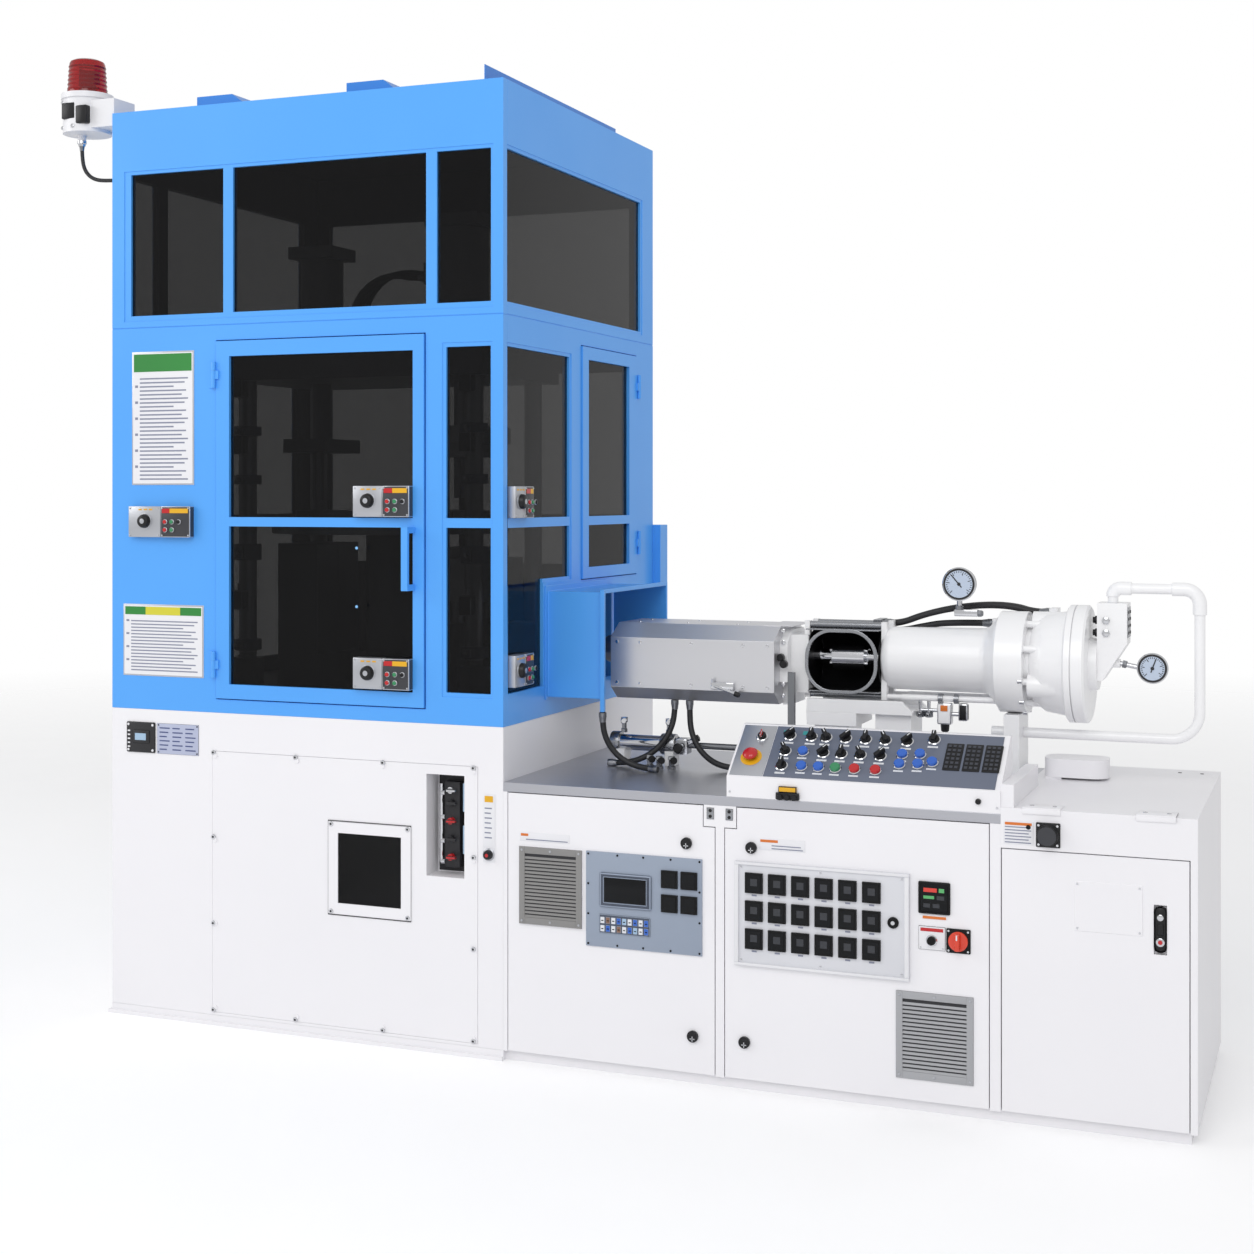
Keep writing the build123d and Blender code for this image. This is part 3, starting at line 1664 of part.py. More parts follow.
def lower_conduits():
    """Heater and hydraulic conduits under the barrel, clipped to the worktop."""
    levelling = (90, 80, 62, 44, 26, 10, 3)
    reach = sum(math.sin(math.radians(heading)) for heading in levelling)
    end = worktop_top + conduit / 2 + clear
    under_rim = (guard_reach + rim_thickness / 2, -guard_half - 4, guard_low - rim_drop)
    under_cover = barrel_axis - cover_drop - clear
    pieces = []
    for start, way, drift in (
        (under_rim, 1, 30),
        ((452, -112, under_cover), 1, -54),
        ((400, -119, under_cover), -1, -66),
    ):
        points = droop(*start, way, (start[2] - end) / reach, levelling, drift)
        pieces.append(hose(points, conduit, "lower_conduit " + str(len(pieces) + 1)))
    return Compound(pieces)


conduit = 20


for name, shape in (
    ("cabinet_shell", cabinet_shell()),
    ("cabinet_right", Compound([cabinet_right(), *cable_tray()])),
    ("worktop", worktop_plate()),
    ("cabinet_door_1", Compound([cabinet_door_1(), vent(*vent_1)])),
    ("control_panel", control_panel()),
    ("cabinet_door_2", cabinet_door_2()),
    ("temperature_panel", temperature_panel()),
    ("door_instruments", door_instruments()),
    ("main_switch_knob", main_switch_knob()),
    ("cabinet_door_3", cabinet_door_3()),
    ("latch_handle", latch_handle()),
    ("console_body", console_body()),
    ("console_controls", console_controls()),
    ("emergency_stop", emergency_stop()),
    ("injection_bed", Compound([injection_bed(), touch_cylinder()])),
    ("heater_cover", heater_cover()),
    ("barrel", Compound([barrel(), touch_rod()])),
    ("feed_block", feed_block()),
    ("screw_shaft", screw_shaft()),
    ("coupling_guard", coupling_guard()),
    ("drive_unit", drive_unit()),
    ("gauges", gauges()),
    ("pipe", pipe()),
    ("arch_hoses", arch_hoses()),
    ("lower_conduits", lower_conduits()),
):
    keep(name, shape)
for n, (x, z) in enumerate(latch_places()):
    keep("door_latch_" + str(n + 1), latch(x, z))
parts["tower_devices"] += right_socket().solids()

os.makedirs("parts", exist_ok=True)
for name, solids in parts.items():
    export_step(Compound(children=solids) if len(solids) > 1 else solids[0], "parts/" + name + ".step")
print(len(parts), "pieces")
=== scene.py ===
import math

import bmesh
import bpy
from mathutils import Matrix, Vector


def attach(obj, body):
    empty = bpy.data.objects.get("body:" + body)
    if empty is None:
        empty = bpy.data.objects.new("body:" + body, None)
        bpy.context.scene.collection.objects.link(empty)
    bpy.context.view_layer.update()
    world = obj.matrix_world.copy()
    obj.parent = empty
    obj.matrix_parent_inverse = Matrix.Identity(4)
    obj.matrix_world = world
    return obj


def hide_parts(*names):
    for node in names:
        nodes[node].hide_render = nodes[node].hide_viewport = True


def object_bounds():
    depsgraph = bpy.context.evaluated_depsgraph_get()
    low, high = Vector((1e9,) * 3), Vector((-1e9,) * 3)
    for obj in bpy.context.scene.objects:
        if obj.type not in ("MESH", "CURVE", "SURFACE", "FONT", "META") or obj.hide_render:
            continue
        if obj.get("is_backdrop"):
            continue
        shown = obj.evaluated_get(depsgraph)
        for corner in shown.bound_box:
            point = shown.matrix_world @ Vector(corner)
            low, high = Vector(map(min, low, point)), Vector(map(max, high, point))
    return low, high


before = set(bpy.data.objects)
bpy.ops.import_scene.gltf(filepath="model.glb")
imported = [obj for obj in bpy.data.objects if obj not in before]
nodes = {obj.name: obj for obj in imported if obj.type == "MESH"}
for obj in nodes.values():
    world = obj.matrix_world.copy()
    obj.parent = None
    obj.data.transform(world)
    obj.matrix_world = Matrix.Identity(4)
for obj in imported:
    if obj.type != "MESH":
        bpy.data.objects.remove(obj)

cad_box = [list(corner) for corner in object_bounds()]

# Camera: eye height of a person standing before the right end of the cabinets, about five
# metres off, with the lens level and a little of the frame left under the machine.
view = bpy.context.scene
view.view_settings.view_transform = "Standard"
lens = bpy.data.cameras.new("camera")
lens.sensor_width = 36
lens.lens = 52.607
lens.shift_y = -0.1046
lens.clip_end = 60
camera = bpy.data.objects.new("camera", lens)
camera.location = (2.5706, -6.0440, 1.8375)
camera.rotation_euler = (math.radians(90), 0, math.radians(21.617))
view.collection.objects.link(camera)
view.camera = camera


# Studio: a seamless white floor and plain soft light from all round, with two large lamps
# that give the metal and the paint their slow highlights.
def hexed(colour):
    """A hex sRGB colour as the linear value that a socket holds."""
    whole = [int(colour[n:n + 2], 16) / 255 for n in (0, 2, 4)]
    return tuple(c / 12.92 if c <= 0.04045 else ((c + 0.055) / 1.055) ** 2.4 for c in whole) + (1.0,)


def node(tree, kind, settings=(), **links):
    """Adds a shader node, sets it, and links its sockets, given by name or by _ and a number."""
    made = tree.nodes.new("ShaderNode" + kind)
    for name, value in dict(settings).items():
        if isinstance(name, int) or name in made.inputs.keys():
            made.inputs[name].default_value = value
        else:
            setattr(made, name, value)
    for name, source in links.items():
        socket = made.inputs[int(name[1:]) if name[0] == "_" else name.replace("_", " ")]
        tree.links.new(source, socket)
    return made


reach = 40
fade_start = 6.0
fade_end = 14.0
floor_mesh = bpy.data.meshes.new("studio_floor")
corners = [(-reach, -reach, 0), (reach, -reach, 0), (reach, reach, 0), (-reach, reach, 0)]
floor_mesh.from_pydata(corners, [], [(0, 1, 2, 3)])
floor = bpy.data.objects.new("studio_floor", floor_mesh)
view.collection.objects.link(floor)
floor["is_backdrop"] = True
paper = bpy.data.materials.new("seamless white paper")
paper.use_nodes = True
tree = paper.node_tree
surface = tree.nodes["Principled BSDF"]
surface.inputs["Roughness"].default_value = 0.9
surface.inputs["Specular IOR Level"].default_value = 0.1
surface.inputs["Emission Color"].default_value = hexed("FFFFFF")
place = node(tree, "TexCoord")
pulp = node(tree, "TexNoise", {"Scale": 3.0}, Vector=place.outputs["Object"])
tones = {"data_type": "RGBA", 6: hexed("F8F8F9"), 7: hexed("F5F5F6")}
tint = node(tree, "Mix", tones, Factor=pulp.outputs[0])
tree.links.new(tint.outputs[2], surface.inputs["Base Color"])
rays = node(tree, "LightPath")
lift = node(tree, "Math", {"operation": "MULTIPLY", 1: 0.12}, _0=rays.outputs["Is Camera Ray"])
tree.links.new(lift.outputs[0], surface.inputs["Emission Strength"])
far = node(tree, "VectorMath", {"operation": "LENGTH"}, _0=place.outputs["Object"])
fade = node(tree, "MapRange", {"From Min": fade_start, "From Max": fade_end}, Value=far.outputs["Value"])
clear = node(tree, "BsdfTransparent")
sweep = node(tree, "MixShader", (), Fac=fade.outputs[0], _1=surface.outputs[0], _2=clear.outputs[0])
tree.links.new(sweep.outputs[0], tree.nodes["Material Output"].inputs["Surface"])
floor_mesh.materials.append(paper)

world = bpy.data.worlds.new("studio light")
world.use_nodes = True
tree = world.node_tree
backdrop = tree.nodes["Background"]
backdrop.inputs["Color"].default_value = hexed("FFFFFF")
lit_level = 0.72
seen_level = 1.0
rays = node(tree, "LightPath").outputs
either = {"operation": "MAXIMUM"}
seen = node(tree, "Math", either, _0=rays["Is Camera Ray"], _1=rays["Is Transmission Ray"])
level = node(tree, "Mix", {"data_type": "FLOAT", "A": lit_level, "B": seen_level}, Factor=seen.outputs[0])
tree.links.new(level.outputs[0], backdrop.inputs["Strength"])
view.world = world

for name, place, aim, size, power in (
    ("lamp over the operator", (1.5, -7.5, 6.0), (0.2, 0, 1.2), 5.0, 210),
    ("lamp at the far left", (-7.0, -4.0, 4.5), (-0.8, 0, 1.6), 3.5, 110),
):
    light = bpy.data.lights.new(name, "AREA")
    light.size = size
    light.energy = power
    lamp = bpy.data.objects.new(name, light)
    lamp.location = place
    lamp.rotation_euler = (Vector(aim) - Vector(place)).to_track_quat("-Z", "Y").to_euler()
    view.collection.objects.link(lamp)


# Floor frame, base casing, service panel and the cabinets: folded steel sheet, sprayed with a
# semigloss white powder coat. The coat is almost even, so the eye gets clean flat faces
# with crisp folds, and only a slow ripple of the sheet in the reflections.
def finish(
    name, tones, rough=(0.3, 0.4), grain=0.02, depth=0.0001, stretch=(1, 1, 1), patch=0.5, **sockets
):
    """A surface between two tones, in patches of that size, with a grain of that size and depth."""
    # All sizes are in metres. The real grain of paint, plastic and brushed or plated metal is too
    # fine for a picture of the whole machine, so it is drawn only as fine as still shows.
    made = bpy.data.materials.new(name)
    made.use_nodes = True
    tree = made.node_tree
    skin = tree.nodes["Principled BSDF"]
    place = node(tree, "TexCoord")
    drawn = node(tree, "Mapping", {"Scale": stretch}, Vector=place.outputs["Object"])
    slow = node(tree, "TexNoise", {"Scale": 1 / patch, "Detail": 2.0}, Vector=drawn.outputs[0])
    fine = node(tree, "TexNoise", {"Scale": 1 / grain, "Detail": 2.0}, Vector=drawn.outputs[0])
    pair = {"data_type": "RGBA", 6: hexed(tones[0]), 7: hexed(tones[1])}
    tint = node(tree, "Mix", pair, Factor=slow.outputs[0])
    sheen = node(tree, "MapRange", {"To Min": rough[0], "To Max": rough[1]}, Value=fine.outputs[0])
    relief = node(tree, "Bump", {"Distance": depth, "Strength": 0.5}, Height=fine.outputs[0])
    tree.links.new(tint.outputs[2], skin.inputs["Base Color"])
    tree.links.new(sheen.outputs[0], skin.inputs["Roughness"])
    tree.links.new(relief.outputs[0], skin.inputs["Normal"])
    for socket, value in sockets.items():
        skin.inputs[socket.replace("_", " ")].default_value = value
    return made


def dress(skin, edge, *names):
    """Gives these CAD nodes their finish, with their folded or machined edges just broken."""
    for name in names:
        shape = nodes[name]
        shape.data.materials.clear()
        shape.data.materials.append(skin)
        if edge:
            weld = shape.modifiers.new("weld", "WELD")
            weld.merge_threshold = 0.00002
            flat = shape.modifiers.new("flat", "DECIMATE")
            flat.decimate_type = "DISSOLVE"
            flat.angle_limit = math.radians(1)
            fold = shape.modifiers.new("edge", "BEVEL")
            fold.width = edge
            fold.segments = 2
            fold.limit_method = "ANGLE"
            fold.angle_limit = math.radians(40)
            even = shape.modifiers.new("even", "WEIGHTED_NORMAL")
            even.keep_sharp = True


white_paint = finish(
    "white powder-coated steel", ("F1F0F3", "EBEAEE"), (0.32, 0.40), 0.25, 0.0004, Coat_Weight=0.15
)
dress(white_paint, 0.002, "base_frame", "base_casing", "service_panel", "cabinet_shell", "cabinet_right")
dress(white_paint, 0.002, "cabinet_door_1", "cabinet_door_2", "cabinet_door_3", "console_body")


# Guard tower: welded tube frame and folded sheet, sprayed sky blue in the same semigloss
# coat. Outside it is an even, clean blue. Inside, the walls and the ceiling are painted almost
# black as painted shade, so that nothing pale shows through the smoked panes.
blue_paint = finish(
    "sky blue powder-coated steel", ("55A8F8", "4BA0F3"), (0.33, 0.42), 0.25, 0.0004, Coat_Weight=0.15
)
roof_paint = finish(
    "deep blue powder-coated steel", ("2F86DC", "2A7ED2"), (0.33, 0.42), 0.25, 0.0004, Coat_Weight=0.15
)
inside_centre = (-0.78325, 0.04825, 2.15)
inside_half = (0.75375, 0.66875, 1.046)
for coat in (blue_paint, roof_paint):
    tree = coat.node_tree
    surface = tree.nodes["Principled BSDF"]
    outer = surface.inputs["Base Color"].links[0].from_socket
    place = node(tree, "TexCoord")
    away = node(tree, "VectorMath", {"operation": "SUBTRACT", 1: inside_centre}, _0=place.outputs["Object"])
    part = node(tree, "VectorMath", {"operation": "ABSOLUTE"}, _0=away.outputs[0])
    past = node(tree, "VectorMath", {"operation": "SUBTRACT", 1: inside_half}, _0=part.outputs[0])
    sides = node(tree, "SeparateXYZ", (), Vector=past.outputs[0])
    wide = node(tree, "Math", {"operation": "MAXIMUM"}, _0=sides.outputs[0], _1=sides.outputs[1])
    whole = node(tree, "Math", {"operation": "MAXIMUM"}, _0=wide.outputs[0], _1=sides.outputs[2])
    # Painted shade: every face inside the tower's box, walls and ceiling, is turned almost black.
    inside = node(tree, "Math", {"operation": "LESS_THAN", 1: 0.0}, _0=whole.outputs[0])
    painted_inside_shade = node(tree, "Mix", {"data_type": "RGBA", 7: hexed("17181B")}, Factor=inside.outputs[0], _6=outer)
    tree.links.new(painted_inside_shade.outputs[2], surface.inputs["Base Color"])
dress(blue_paint, 0.002, "guard_lower_front", "guard_lower_right", "guard_upper_front", "guard_upper_right")
dress(
    blue_paint, 0.002, "guard_left", "guard_rear", "front_door", "side_door", "hinge_leaves", "barrel_guard"
)
dress(roof_paint, 0.002, "roof")


# Panes: 5 mm smoked polycarbonate in the window rebates. Nearly black from outside, with
# well under half of the light passing, and a weak but clean reflection.
smoked = bpy.data.materials.new("smoked polycarbonate")
smoked.use_nodes = True
tree = smoked.node_tree
surface = tree.nodes["Principled BSDF"]
surface.inputs["Alpha"].default_value = 0.6
surface.inputs["Specular IOR Level"].default_value = 0.22
place = node(tree, "TexCoord")
haze = node(tree, "TexNoise", {"Scale": 2.5, "Detail": 2.0}, Vector=place.outputs["Object"])
tones = {"data_type": "RGBA", 6: hexed("060607"), 7: hexed("0C0C0E")}
tint = node(tree, "Mix", tones, Factor=haze.outputs[0])
wear = node(tree, "MapRange", {"To Min": 0.03, "To Max": 0.09}, Value=haze.outputs[0])
tree.links.new(tint.outputs[2], surface.inputs["Base Color"])
tree.links.new(wear.outputs[0], surface.inputs["Roughness"])
smoked.surface_render_method = "BLENDED"
dress(smoked, 0, "fixed_panes", "front_door_panes", "side_door_panes")


# Stations inside the tower: ground steel plates and moulds between a dark painted frame and
# four columns. Seen only through the smoked panes, as dark grey blocks with bright edges.

# The brushed on paint is even and half dull. The grinding leaves fine marks across the steel, which
# stretch its highlights a little.
dark_paint = finish("dark grey machine paint", ("5C5D61", "4E4F53"), (0.35, 0.5), 0.06, 0.0003)
ground_steel = finish(
    "ground steel", ("8E9094", "7F8185"), (0.28, 0.42), 0.02, 0.0001, (1, 12, 1), 0.2, Metallic=1.0
)
dress(dark_paint, 0.002, "clamp_frame", "stretch_unit")
dress(
    ground_steel, 0.002, "turntable", "cavity_platen", "core_platen", "blow_mould_front", "blow_mould_rear"
)


# Worktop and heater cover: 3 mm stainless sheet, brushed along the machine and folded. The
# brushing draws the lamps out into soft bands. The worktop is given a darker tone, as painted shade on its
# upward face.
stainless = finish(
    "brushed stainless steel", ("E4E4E7", "CECED2"), (0.30, 0.42), 0.004, 0.0001, (0.02, 1, 1), 0.3,
    Metallic=0.85
)
dress(stainless, 0.0015, "heater_cover")
shaded_stainless = finish(
    "stainless steel in painted shade", ("C6C7CD", "AFB0B7"), (0.26, 0.4), 0.004, 0.0001, (0.02, 1, 1), 0.3,
    Metallic=0.85
)
dress(shaded_stainless, 0.0015, "worktop")


# Injection unit: cast iron and steel parts in white enamel, a little uneven as castings are.
# The coupling guard is zinc plated, the screw shaft hard chromed and the barrel bare ground
# steel, so that they show as three greys between the white castings.

# The thick enamel follows the cast skin, so its gloss runs in soft uneven patches.
cast_white = finish(
    "white enamel on cast iron", ("FAFAFB", "F2F2F4"), (0.26, 0.36), 0.05, 0.0008, (1, 1, 1), 0.3,
    Coat_Weight=0.3
)
dress(cast_white, 0.003, "injection_bed", "feed_block", "drive_unit", "pipe")
plated_steel = finish("zinc plated steel", ("A6A8AC", "8F9196"), (0.2, 0.32), Metallic=0.9)
dress(plated_steel, 0.001, "coupling_guard")
chrome = finish("hard chrome plate", ("D9DADD", "CBCCD0"), (0.07, 0.14), 0.05, 0.0001, Metallic=1.0)
dress(chrome, 0.001, "screw_shaft")
dress(ground_steel, 0.001, "barrel")


# Door latches: round quarter turn locks moulded in black nylon and screwed through the sheet.
# They give the eye plain dark discs on the white doors.
black_moulding = finish(
    "black moulded plastic", ("131315", "1A1A1D"), (0.3, 0.42), 0.01, 0.0001, Specular_IOR_Level=0.35
)
dress(black_moulding, 0.001, "door_latch_1", "door_latch_2", "door_latch_3", "door_latch_4")


# Rotating beacon beside the roof's front left corner: a ribbed dome of clear red acrylic on a
# round body of matt white plastic, with black lugs under the dome and two black covers in front.
# The dome is clear enough for the black mirror rotor inside to show as a darker core.
def block(shape, low, high, paint=0, edge=0.0, lean=Matrix.Identity(4)):
    """A box between two corners, in millimetres, leaned, with its edges rounded by that much."""
    corners = bmesh.ops.create_cube(shape, size=1)["verts"]
    for corner in corners:
        corner.co = lean @ Vector([low[n] + (high[n] - low[n]) * (corner.co[n] + 0.5) for n in range(3)])
    for face in {face for corner in corners for face in corner.link_faces}:
        face.material_index = paint
    if edge:
        edges = list({line for corner in corners for line in corner.link_edges})
        bmesh.ops.bevel(shape, geom=edges, offset=edge, segments=2, profile=0.5, affect="EDGES")


def ring(x, y, radius, count, start=0.0):
    """That many points, evenly round a circle, from a start given in steps."""
    angles = [2 * math.pi * (n + start) / count for n in range(count)]
    return [(x + radius * math.cos(a), y + radius * math.sin(a)) for a in angles]


def turned(shape, profile, place, paint=0, sides=28, way=(0, -1, 0)):
    """A turned form: (distance, radius) pairs along a way, which is to the front if not given."""
    turn = Vector(way).to_track_quat("Z", "Y")
    rings = []
    for along, radius in profile:
        around = [Vector((x, y, along)) for x, y in ring(0, 0, radius, sides)]
        rings.append([shape.verts.new(Vector(place) + turn @ point) for point in around])
    faces = [shape.faces.new(rings[0][::-1]), shape.faces.new(rings[-1])]
    for one, two in zip(rings, rings[1:]):
        for n in range(sides):
            faces.append(shape.faces.new((one[n - 1], one[n], two[n], two[n - 1])))
    for face in faces:
        face.material_index = paint


def heads(shape, profile, columns, y, rows, paint=0, sides=12):
    """The same turned head, facing the front, wherever one of the columns meets one of the rows."""
    for x in columns:
        for z in rows:
            turned(shape, profile, (x, y, z), paint, sides)


def stood(place, degrees, axis):
    """The matrix that turns a form about an axis and then stands it in its place."""
    return Matrix.Translation(place) @ Matrix.Rotation(math.radians(degrees), 4, axis)


def bar(shape, start, end, radius, paint=0, sides=16):
    """A round bar between two points."""
    way = Vector(end) - Vector(start)
    turned(shape, ((0, radius), (way.length, radius)), start, paint, sides, way)


def piece(name, shape, finishes, body, stands_for=(), place=Matrix.Identity(4)):
    """Turns a shape in millimetres into a piece that rides on that body."""
    bmesh.ops.recalc_face_normals(shape, faces=shape.faces)
    mesh = bpy.data.meshes.new(name)
    shape.to_mesh(mesh)
    shape.free()
    mesh.transform(Matrix.Scale(0.001, 4) @ place)
    mesh.shade_smooth()
    mesh.set_sharp_from_angle(angle=math.radians(32))
    for skin in finishes:
        mesh.materials.append(skin)
    made = bpy.data.objects.new(name, mesh)
    view.collection.objects.link(made)
    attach(made, body)
    if stands_for:
        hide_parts(*stands_for)


# The moulded body is dull and even. The polished acrylic is deep red with small hard highlights.
white_moulding = finish("white moulded plastic", ("E9E9EC", "DFDFE3"), (0.35, 0.45), 0.02, 0.0002)
red_acrylic = finish(
    "clear red acrylic", ("B4060E", "9A040A"), (0.06, 0.12), 0.03, 0.0002, Transmission_Weight=0.6
)
dress(white_moulding, 0.001, "beacon_base")
dress(black_moulding, 0.001, "beacon_rotor")
beacon_x = -1702
beacon_y = -580
dome_low = 3290
lug_count = 10
lug_circle = 80
shape = bmesh.new()
ribs = [(0, 72), (12, 72)]
for n in range(6):
    ribs += [(14 + 16 * n, 68.5 - n), (20 + 16 * n, 71 - n), (26 + 16 * n, 68.5 - n)]
ribs += [(112, 63), (120, 59), (125.5, 48)]
turned(shape, ribs, (beacon_x, beacon_y, dome_low), 0, 48, (0, 0, 1))
piece("beacon_dome_ribbed", shape, (red_acrylic,), "machine", ("beacon_dome",))
shape = bmesh.new()
turned(shape, ((0, 74), (4, 74), (4, 73)), (beacon_x, beacon_y, dome_low - 3), 0, 48, (0, 0, 1))
for x, y in ring(beacon_x, beacon_y, lug_circle, lug_count):
    block(shape, (x - 8, y - 5, dome_low - 16), (x + 8, y + 5, dome_low - 4), 0, 1)
block(shape, (beacon_x + 14, beacon_y - 88, 3172), (beacon_x + 62, beacon_y - 60, 3238), 0, 6)
block(shape, (beacon_x - 46, beacon_y - 88, 3192), (beacon_x + 10, beacon_y - 66, 3250), 0, 4)
bar(shape, (beacon_x - 24, beacon_y, 3110), (beacon_x - 24, beacon_y, 3126), 11)
piece("beacon_black_parts", shape, (black_moulding,), "machine")
shape = bmesh.new()
for x, z in ((beacon_x - 58, 3165), (beacon_x - 58, 3256), (beacon_x + 2, 3165), (beacon_x + 36, 3205)):
    y = beacon_y - math.sqrt(86 ** 2 - (x - beacon_x) ** 2) - 3
    turned(shape, ((0, 7), (3, 7), (4.5, 5)), (x, y + 3, z), sides=16)
gland = ((0, 17), (10, 17), (12, 14), (20, 12))
turned(shape, gland, (beacon_x - 24, beacon_y, 3127), 0, 24, (0, 0, -1))
piece("beacon_screws_and_gland", shape, (chrome,), "machine")


# Notices on the left of the front wall: screen printed aluminium plates with a silver edge,
# left without words. A coloured head band and thin ruled bands keep the look of a notice.

# The print is flat and slightly satin. The anodised edge keeps a soft metal shine round it.
plate_white = finish("printed white aluminium", ("EDEDF0", "E2E2E7"))
plate_green = finish("printed green band", ("2E8A3A", "267C33"))
plate_yellow = finish("printed yellow band", ("D8D23A", "C9C235"))
plate_ink = finish("printed grey ruling", ("8F93A6", "7C8196"))
silver_edge = finish("anodised aluminium", ("C3C5CA", "B0B2B8"), (0.3, 0.42), 0.01, 0.0001, Metallic=0.8)
# The plane in which the tower's front wall, the base and the cabinet doors stand.
front = -650
shape = bmesh.new()
for x0, x1, z0, z1, head, lines in ((-1453, -1193, 1876, 2346, 62, 26), (-1490, -1153, 1202, 1455, 28, 16)):
    block(shape, (x0, front - 2, z0), (x1, front, z1), 4, 0.6)
    block(shape, (x0 + 5, front - 3, z0 + 5), (x1 - 5, front - 1.8, z1 - 5))
    block(shape, (x0 + 9, front - 3.6, z1 - 9 - head), (x1 - 9, front - 2.8, z1 - 9), 1)
    if head < 40:
        block(shape, (x0 + 96, front - 3.9, z1 - 9 - head), (x1 - 96, front - 3.4, z1 - 9), 2)
    step = (z1 - z0 - head - 40) / lines
    for n in range(lines):
        z = z0 + 18 + step * n
        inset = (0, 26, 8, 60, 14)[n % 5]
        block(shape, (x0 + 34, front - 3.5, z), (x1 - 24 - inset, front - 2.9, z + step * 0.36), 3)
        if n % 4 == 3:
            block(shape, (x0 + 14, front - 3.5, z), (x0 + 26, front - 2.9, z + step * 0.6), 3)
notice_finish = (plate_white, plate_green, plate_yellow, plate_ink, silver_edge)
piece("notice_plates", shape, notice_finish, "machine")


# Guard key stations: die cast boxes. The left half is silver and carries a black rotary key
# knob, the right half is a dark plate with a yellow and red strip over five pilot lamps.

# The red plastic and the green lenses are smooth and glossy, the yellow print and the dark plate
# are satin, so that the lamps are what catches the eye.
signal_red = finish("red moulded plastic", ("C4161C", "B01218"), (0.2, 0.3), Coat_Weight=0.3)
signal_yellow = finish("yellow printed strip", ("E8B01E", "DDA618"))
signal_green = finish("green lens", ("2D8C5A", "257C4E"), (0.15, 0.25), Coat_Weight=0.5)
dark_plate = finish("dark anodised plate", ("3A3B40", "303136"), (0.35, 0.45), 0.01, 0.0001)


def key_station(shape, wide, high, deep):
    """A station whose lower left back corner is at the origin, facing the front."""
    middle = wide * 0.52
    block(shape, (0, -deep, 0), (middle, 0, high), 0, 3)
    block(shape, (middle + 1, -deep, 0), (wide, 0, high), 3, 3)
    block(shape, (middle + 8, -deep - 1, high - 24), (wide - 8, -deep, high - 8), 2)
    block(shape, (middle + 8, -deep - 1.5, high - 24), (middle + 40, -deep - 0.5, high - 8), 1)
    knob = (middle * 0.53, -deep, high * 0.52)
    turned(shape, ((0, 27), (3, 27), (4, 24)), knob)
    turned(shape, ((3, 25), (12, 24), (18, 21), (20, 17)), knob, 4)
    turned(shape, ((19, 9), (20, 9), (20.4, 7)), knob, sides=20)
    for n, paint in enumerate((1, 5, 4, 1, 5)):
        x = middle + 22 + (n % 3) * 28
        z = high * 0.5 - (n // 3) * 28
        turned(shape, ((0, 9), (3, 9), (4, 7.5)), (x, -deep, z), sides=20)
        turned(shape, ((3, 7), (7, 7), (8.5, 5)), (x, -deep, z), paint, 20)
    screw = ((0, 3.4), (1.5, 3), (1.8, 2))
    heads(shape, screw, (7, middle - 8, middle + 8, wide - 7), -deep, (7, high - 7))
    for n in range(3):
        x = knob[0] - 28 + 22 * n
        block(shape, (x, -deep - 0.6, high - 14), (x + 14, -deep, high - 9), 2)


station_finish = (silver_edge, signal_red, signal_yellow, dark_plate, black_moulding, signal_green)
shape = bmesh.new()
key_station(shape, 258, 109, 26)
wall_place = Matrix.Translation((-1451, front, 1692))
piece("key_station_wall", shape, station_finish, "machine", ("tower_devices",), wall_place)
for number, z in (("1", 1193), ("2", 1767)):
    shape = bmesh.new()
    key_station(shape, 213, 104, 38)
    name = "key_station_door_" + number
    place = Matrix.Translation((-542, front + 6, z))
    piece(name, shape, station_finish, "front_door", ("front_door_switches",), place)
for number, z in (("1", 1209), ("2", 1764)):
    shape = bmesh.new()
    key_station(shape, 148, 105, 38)
    name = "key_station_side_" + number
    place = stood((-12, -612, z), 90, "Z")
    piece(name, shape, station_finish, "machine", ("tower_devices",), place)


# Small fittings of the white base: the hour counter, the bare type plate, the bare label strip
# with its key switch, a painted shadow line round the sight window's frame and the socket head
# screws of the panel, with painted shade in their sockets.

# The crinkle enamel scatters the light and stays dark, the display is smooth glass, and the two
# printed plates are satin.
dull_black = finish("black crinkle enamel", ("1D1D20", "26262A"), (0.45, 0.6), 0.008, 0.0002)
pale_display = finish("pale blue display", ("A9C4DC", "98B6D2"), (0.1, 0.2))
lavender_plate = finish("lavender grey plate", ("B9BFD6", "ABB2CC"))
navy_ink = finish("printed navy ruling", ("4A5686", "3E4A78"))
shape = bmesh.new()
block(shape, (-1474, front - 6, 931), (-1354, front, 1038), 0, 4)
block(shape, (-1446, front - 9, 964), (-1376, front - 5, 1010), 0, 3)
block(shape, (-1436, front - 10, 974), (-1388, front - 8.5, 1000), 1, 1)
for n in range(5):
    block(shape, (-1468, front - 7, 948 + 14 * n), (-1458, front - 5.5, 953 + 14 * n), 2)
heads(shape, ((0, 4.5), (2, 4), (2.5, 3)), (-1465, -1363), front - 6, (940, 1029), 2, 14)
block(shape, (-1347, front - 2, 930), (-1174, front, 1037), 3, 0.6)
for row in range(6):
    z = 944 + 15 * row
    for column in range(3):
        x = -1336 + 54 * column
        block(shape, (x, front - 2.8, z), (x + 30 + 6 * ((row + column) % 3), front - 1.8, z + 4), 4)
heads(shape, ((0, 3), (1.5, 2.6)), (-1341, -1180), front - 2, (936, 1031))
counter_finish = (dull_black, pale_display, plate_white, lavender_plate, navy_ink)
piece("hour_counter_and_plate", shape, counter_finish, "machine", ("tower_devices",))
shape = bmesh.new()
block(shape, (-73, front - 2, 642), (-29, front, 864), 0, 0.6)
block(shape, (-66, front - 2.8, 838), (-36, front - 1.8, 858), 1)
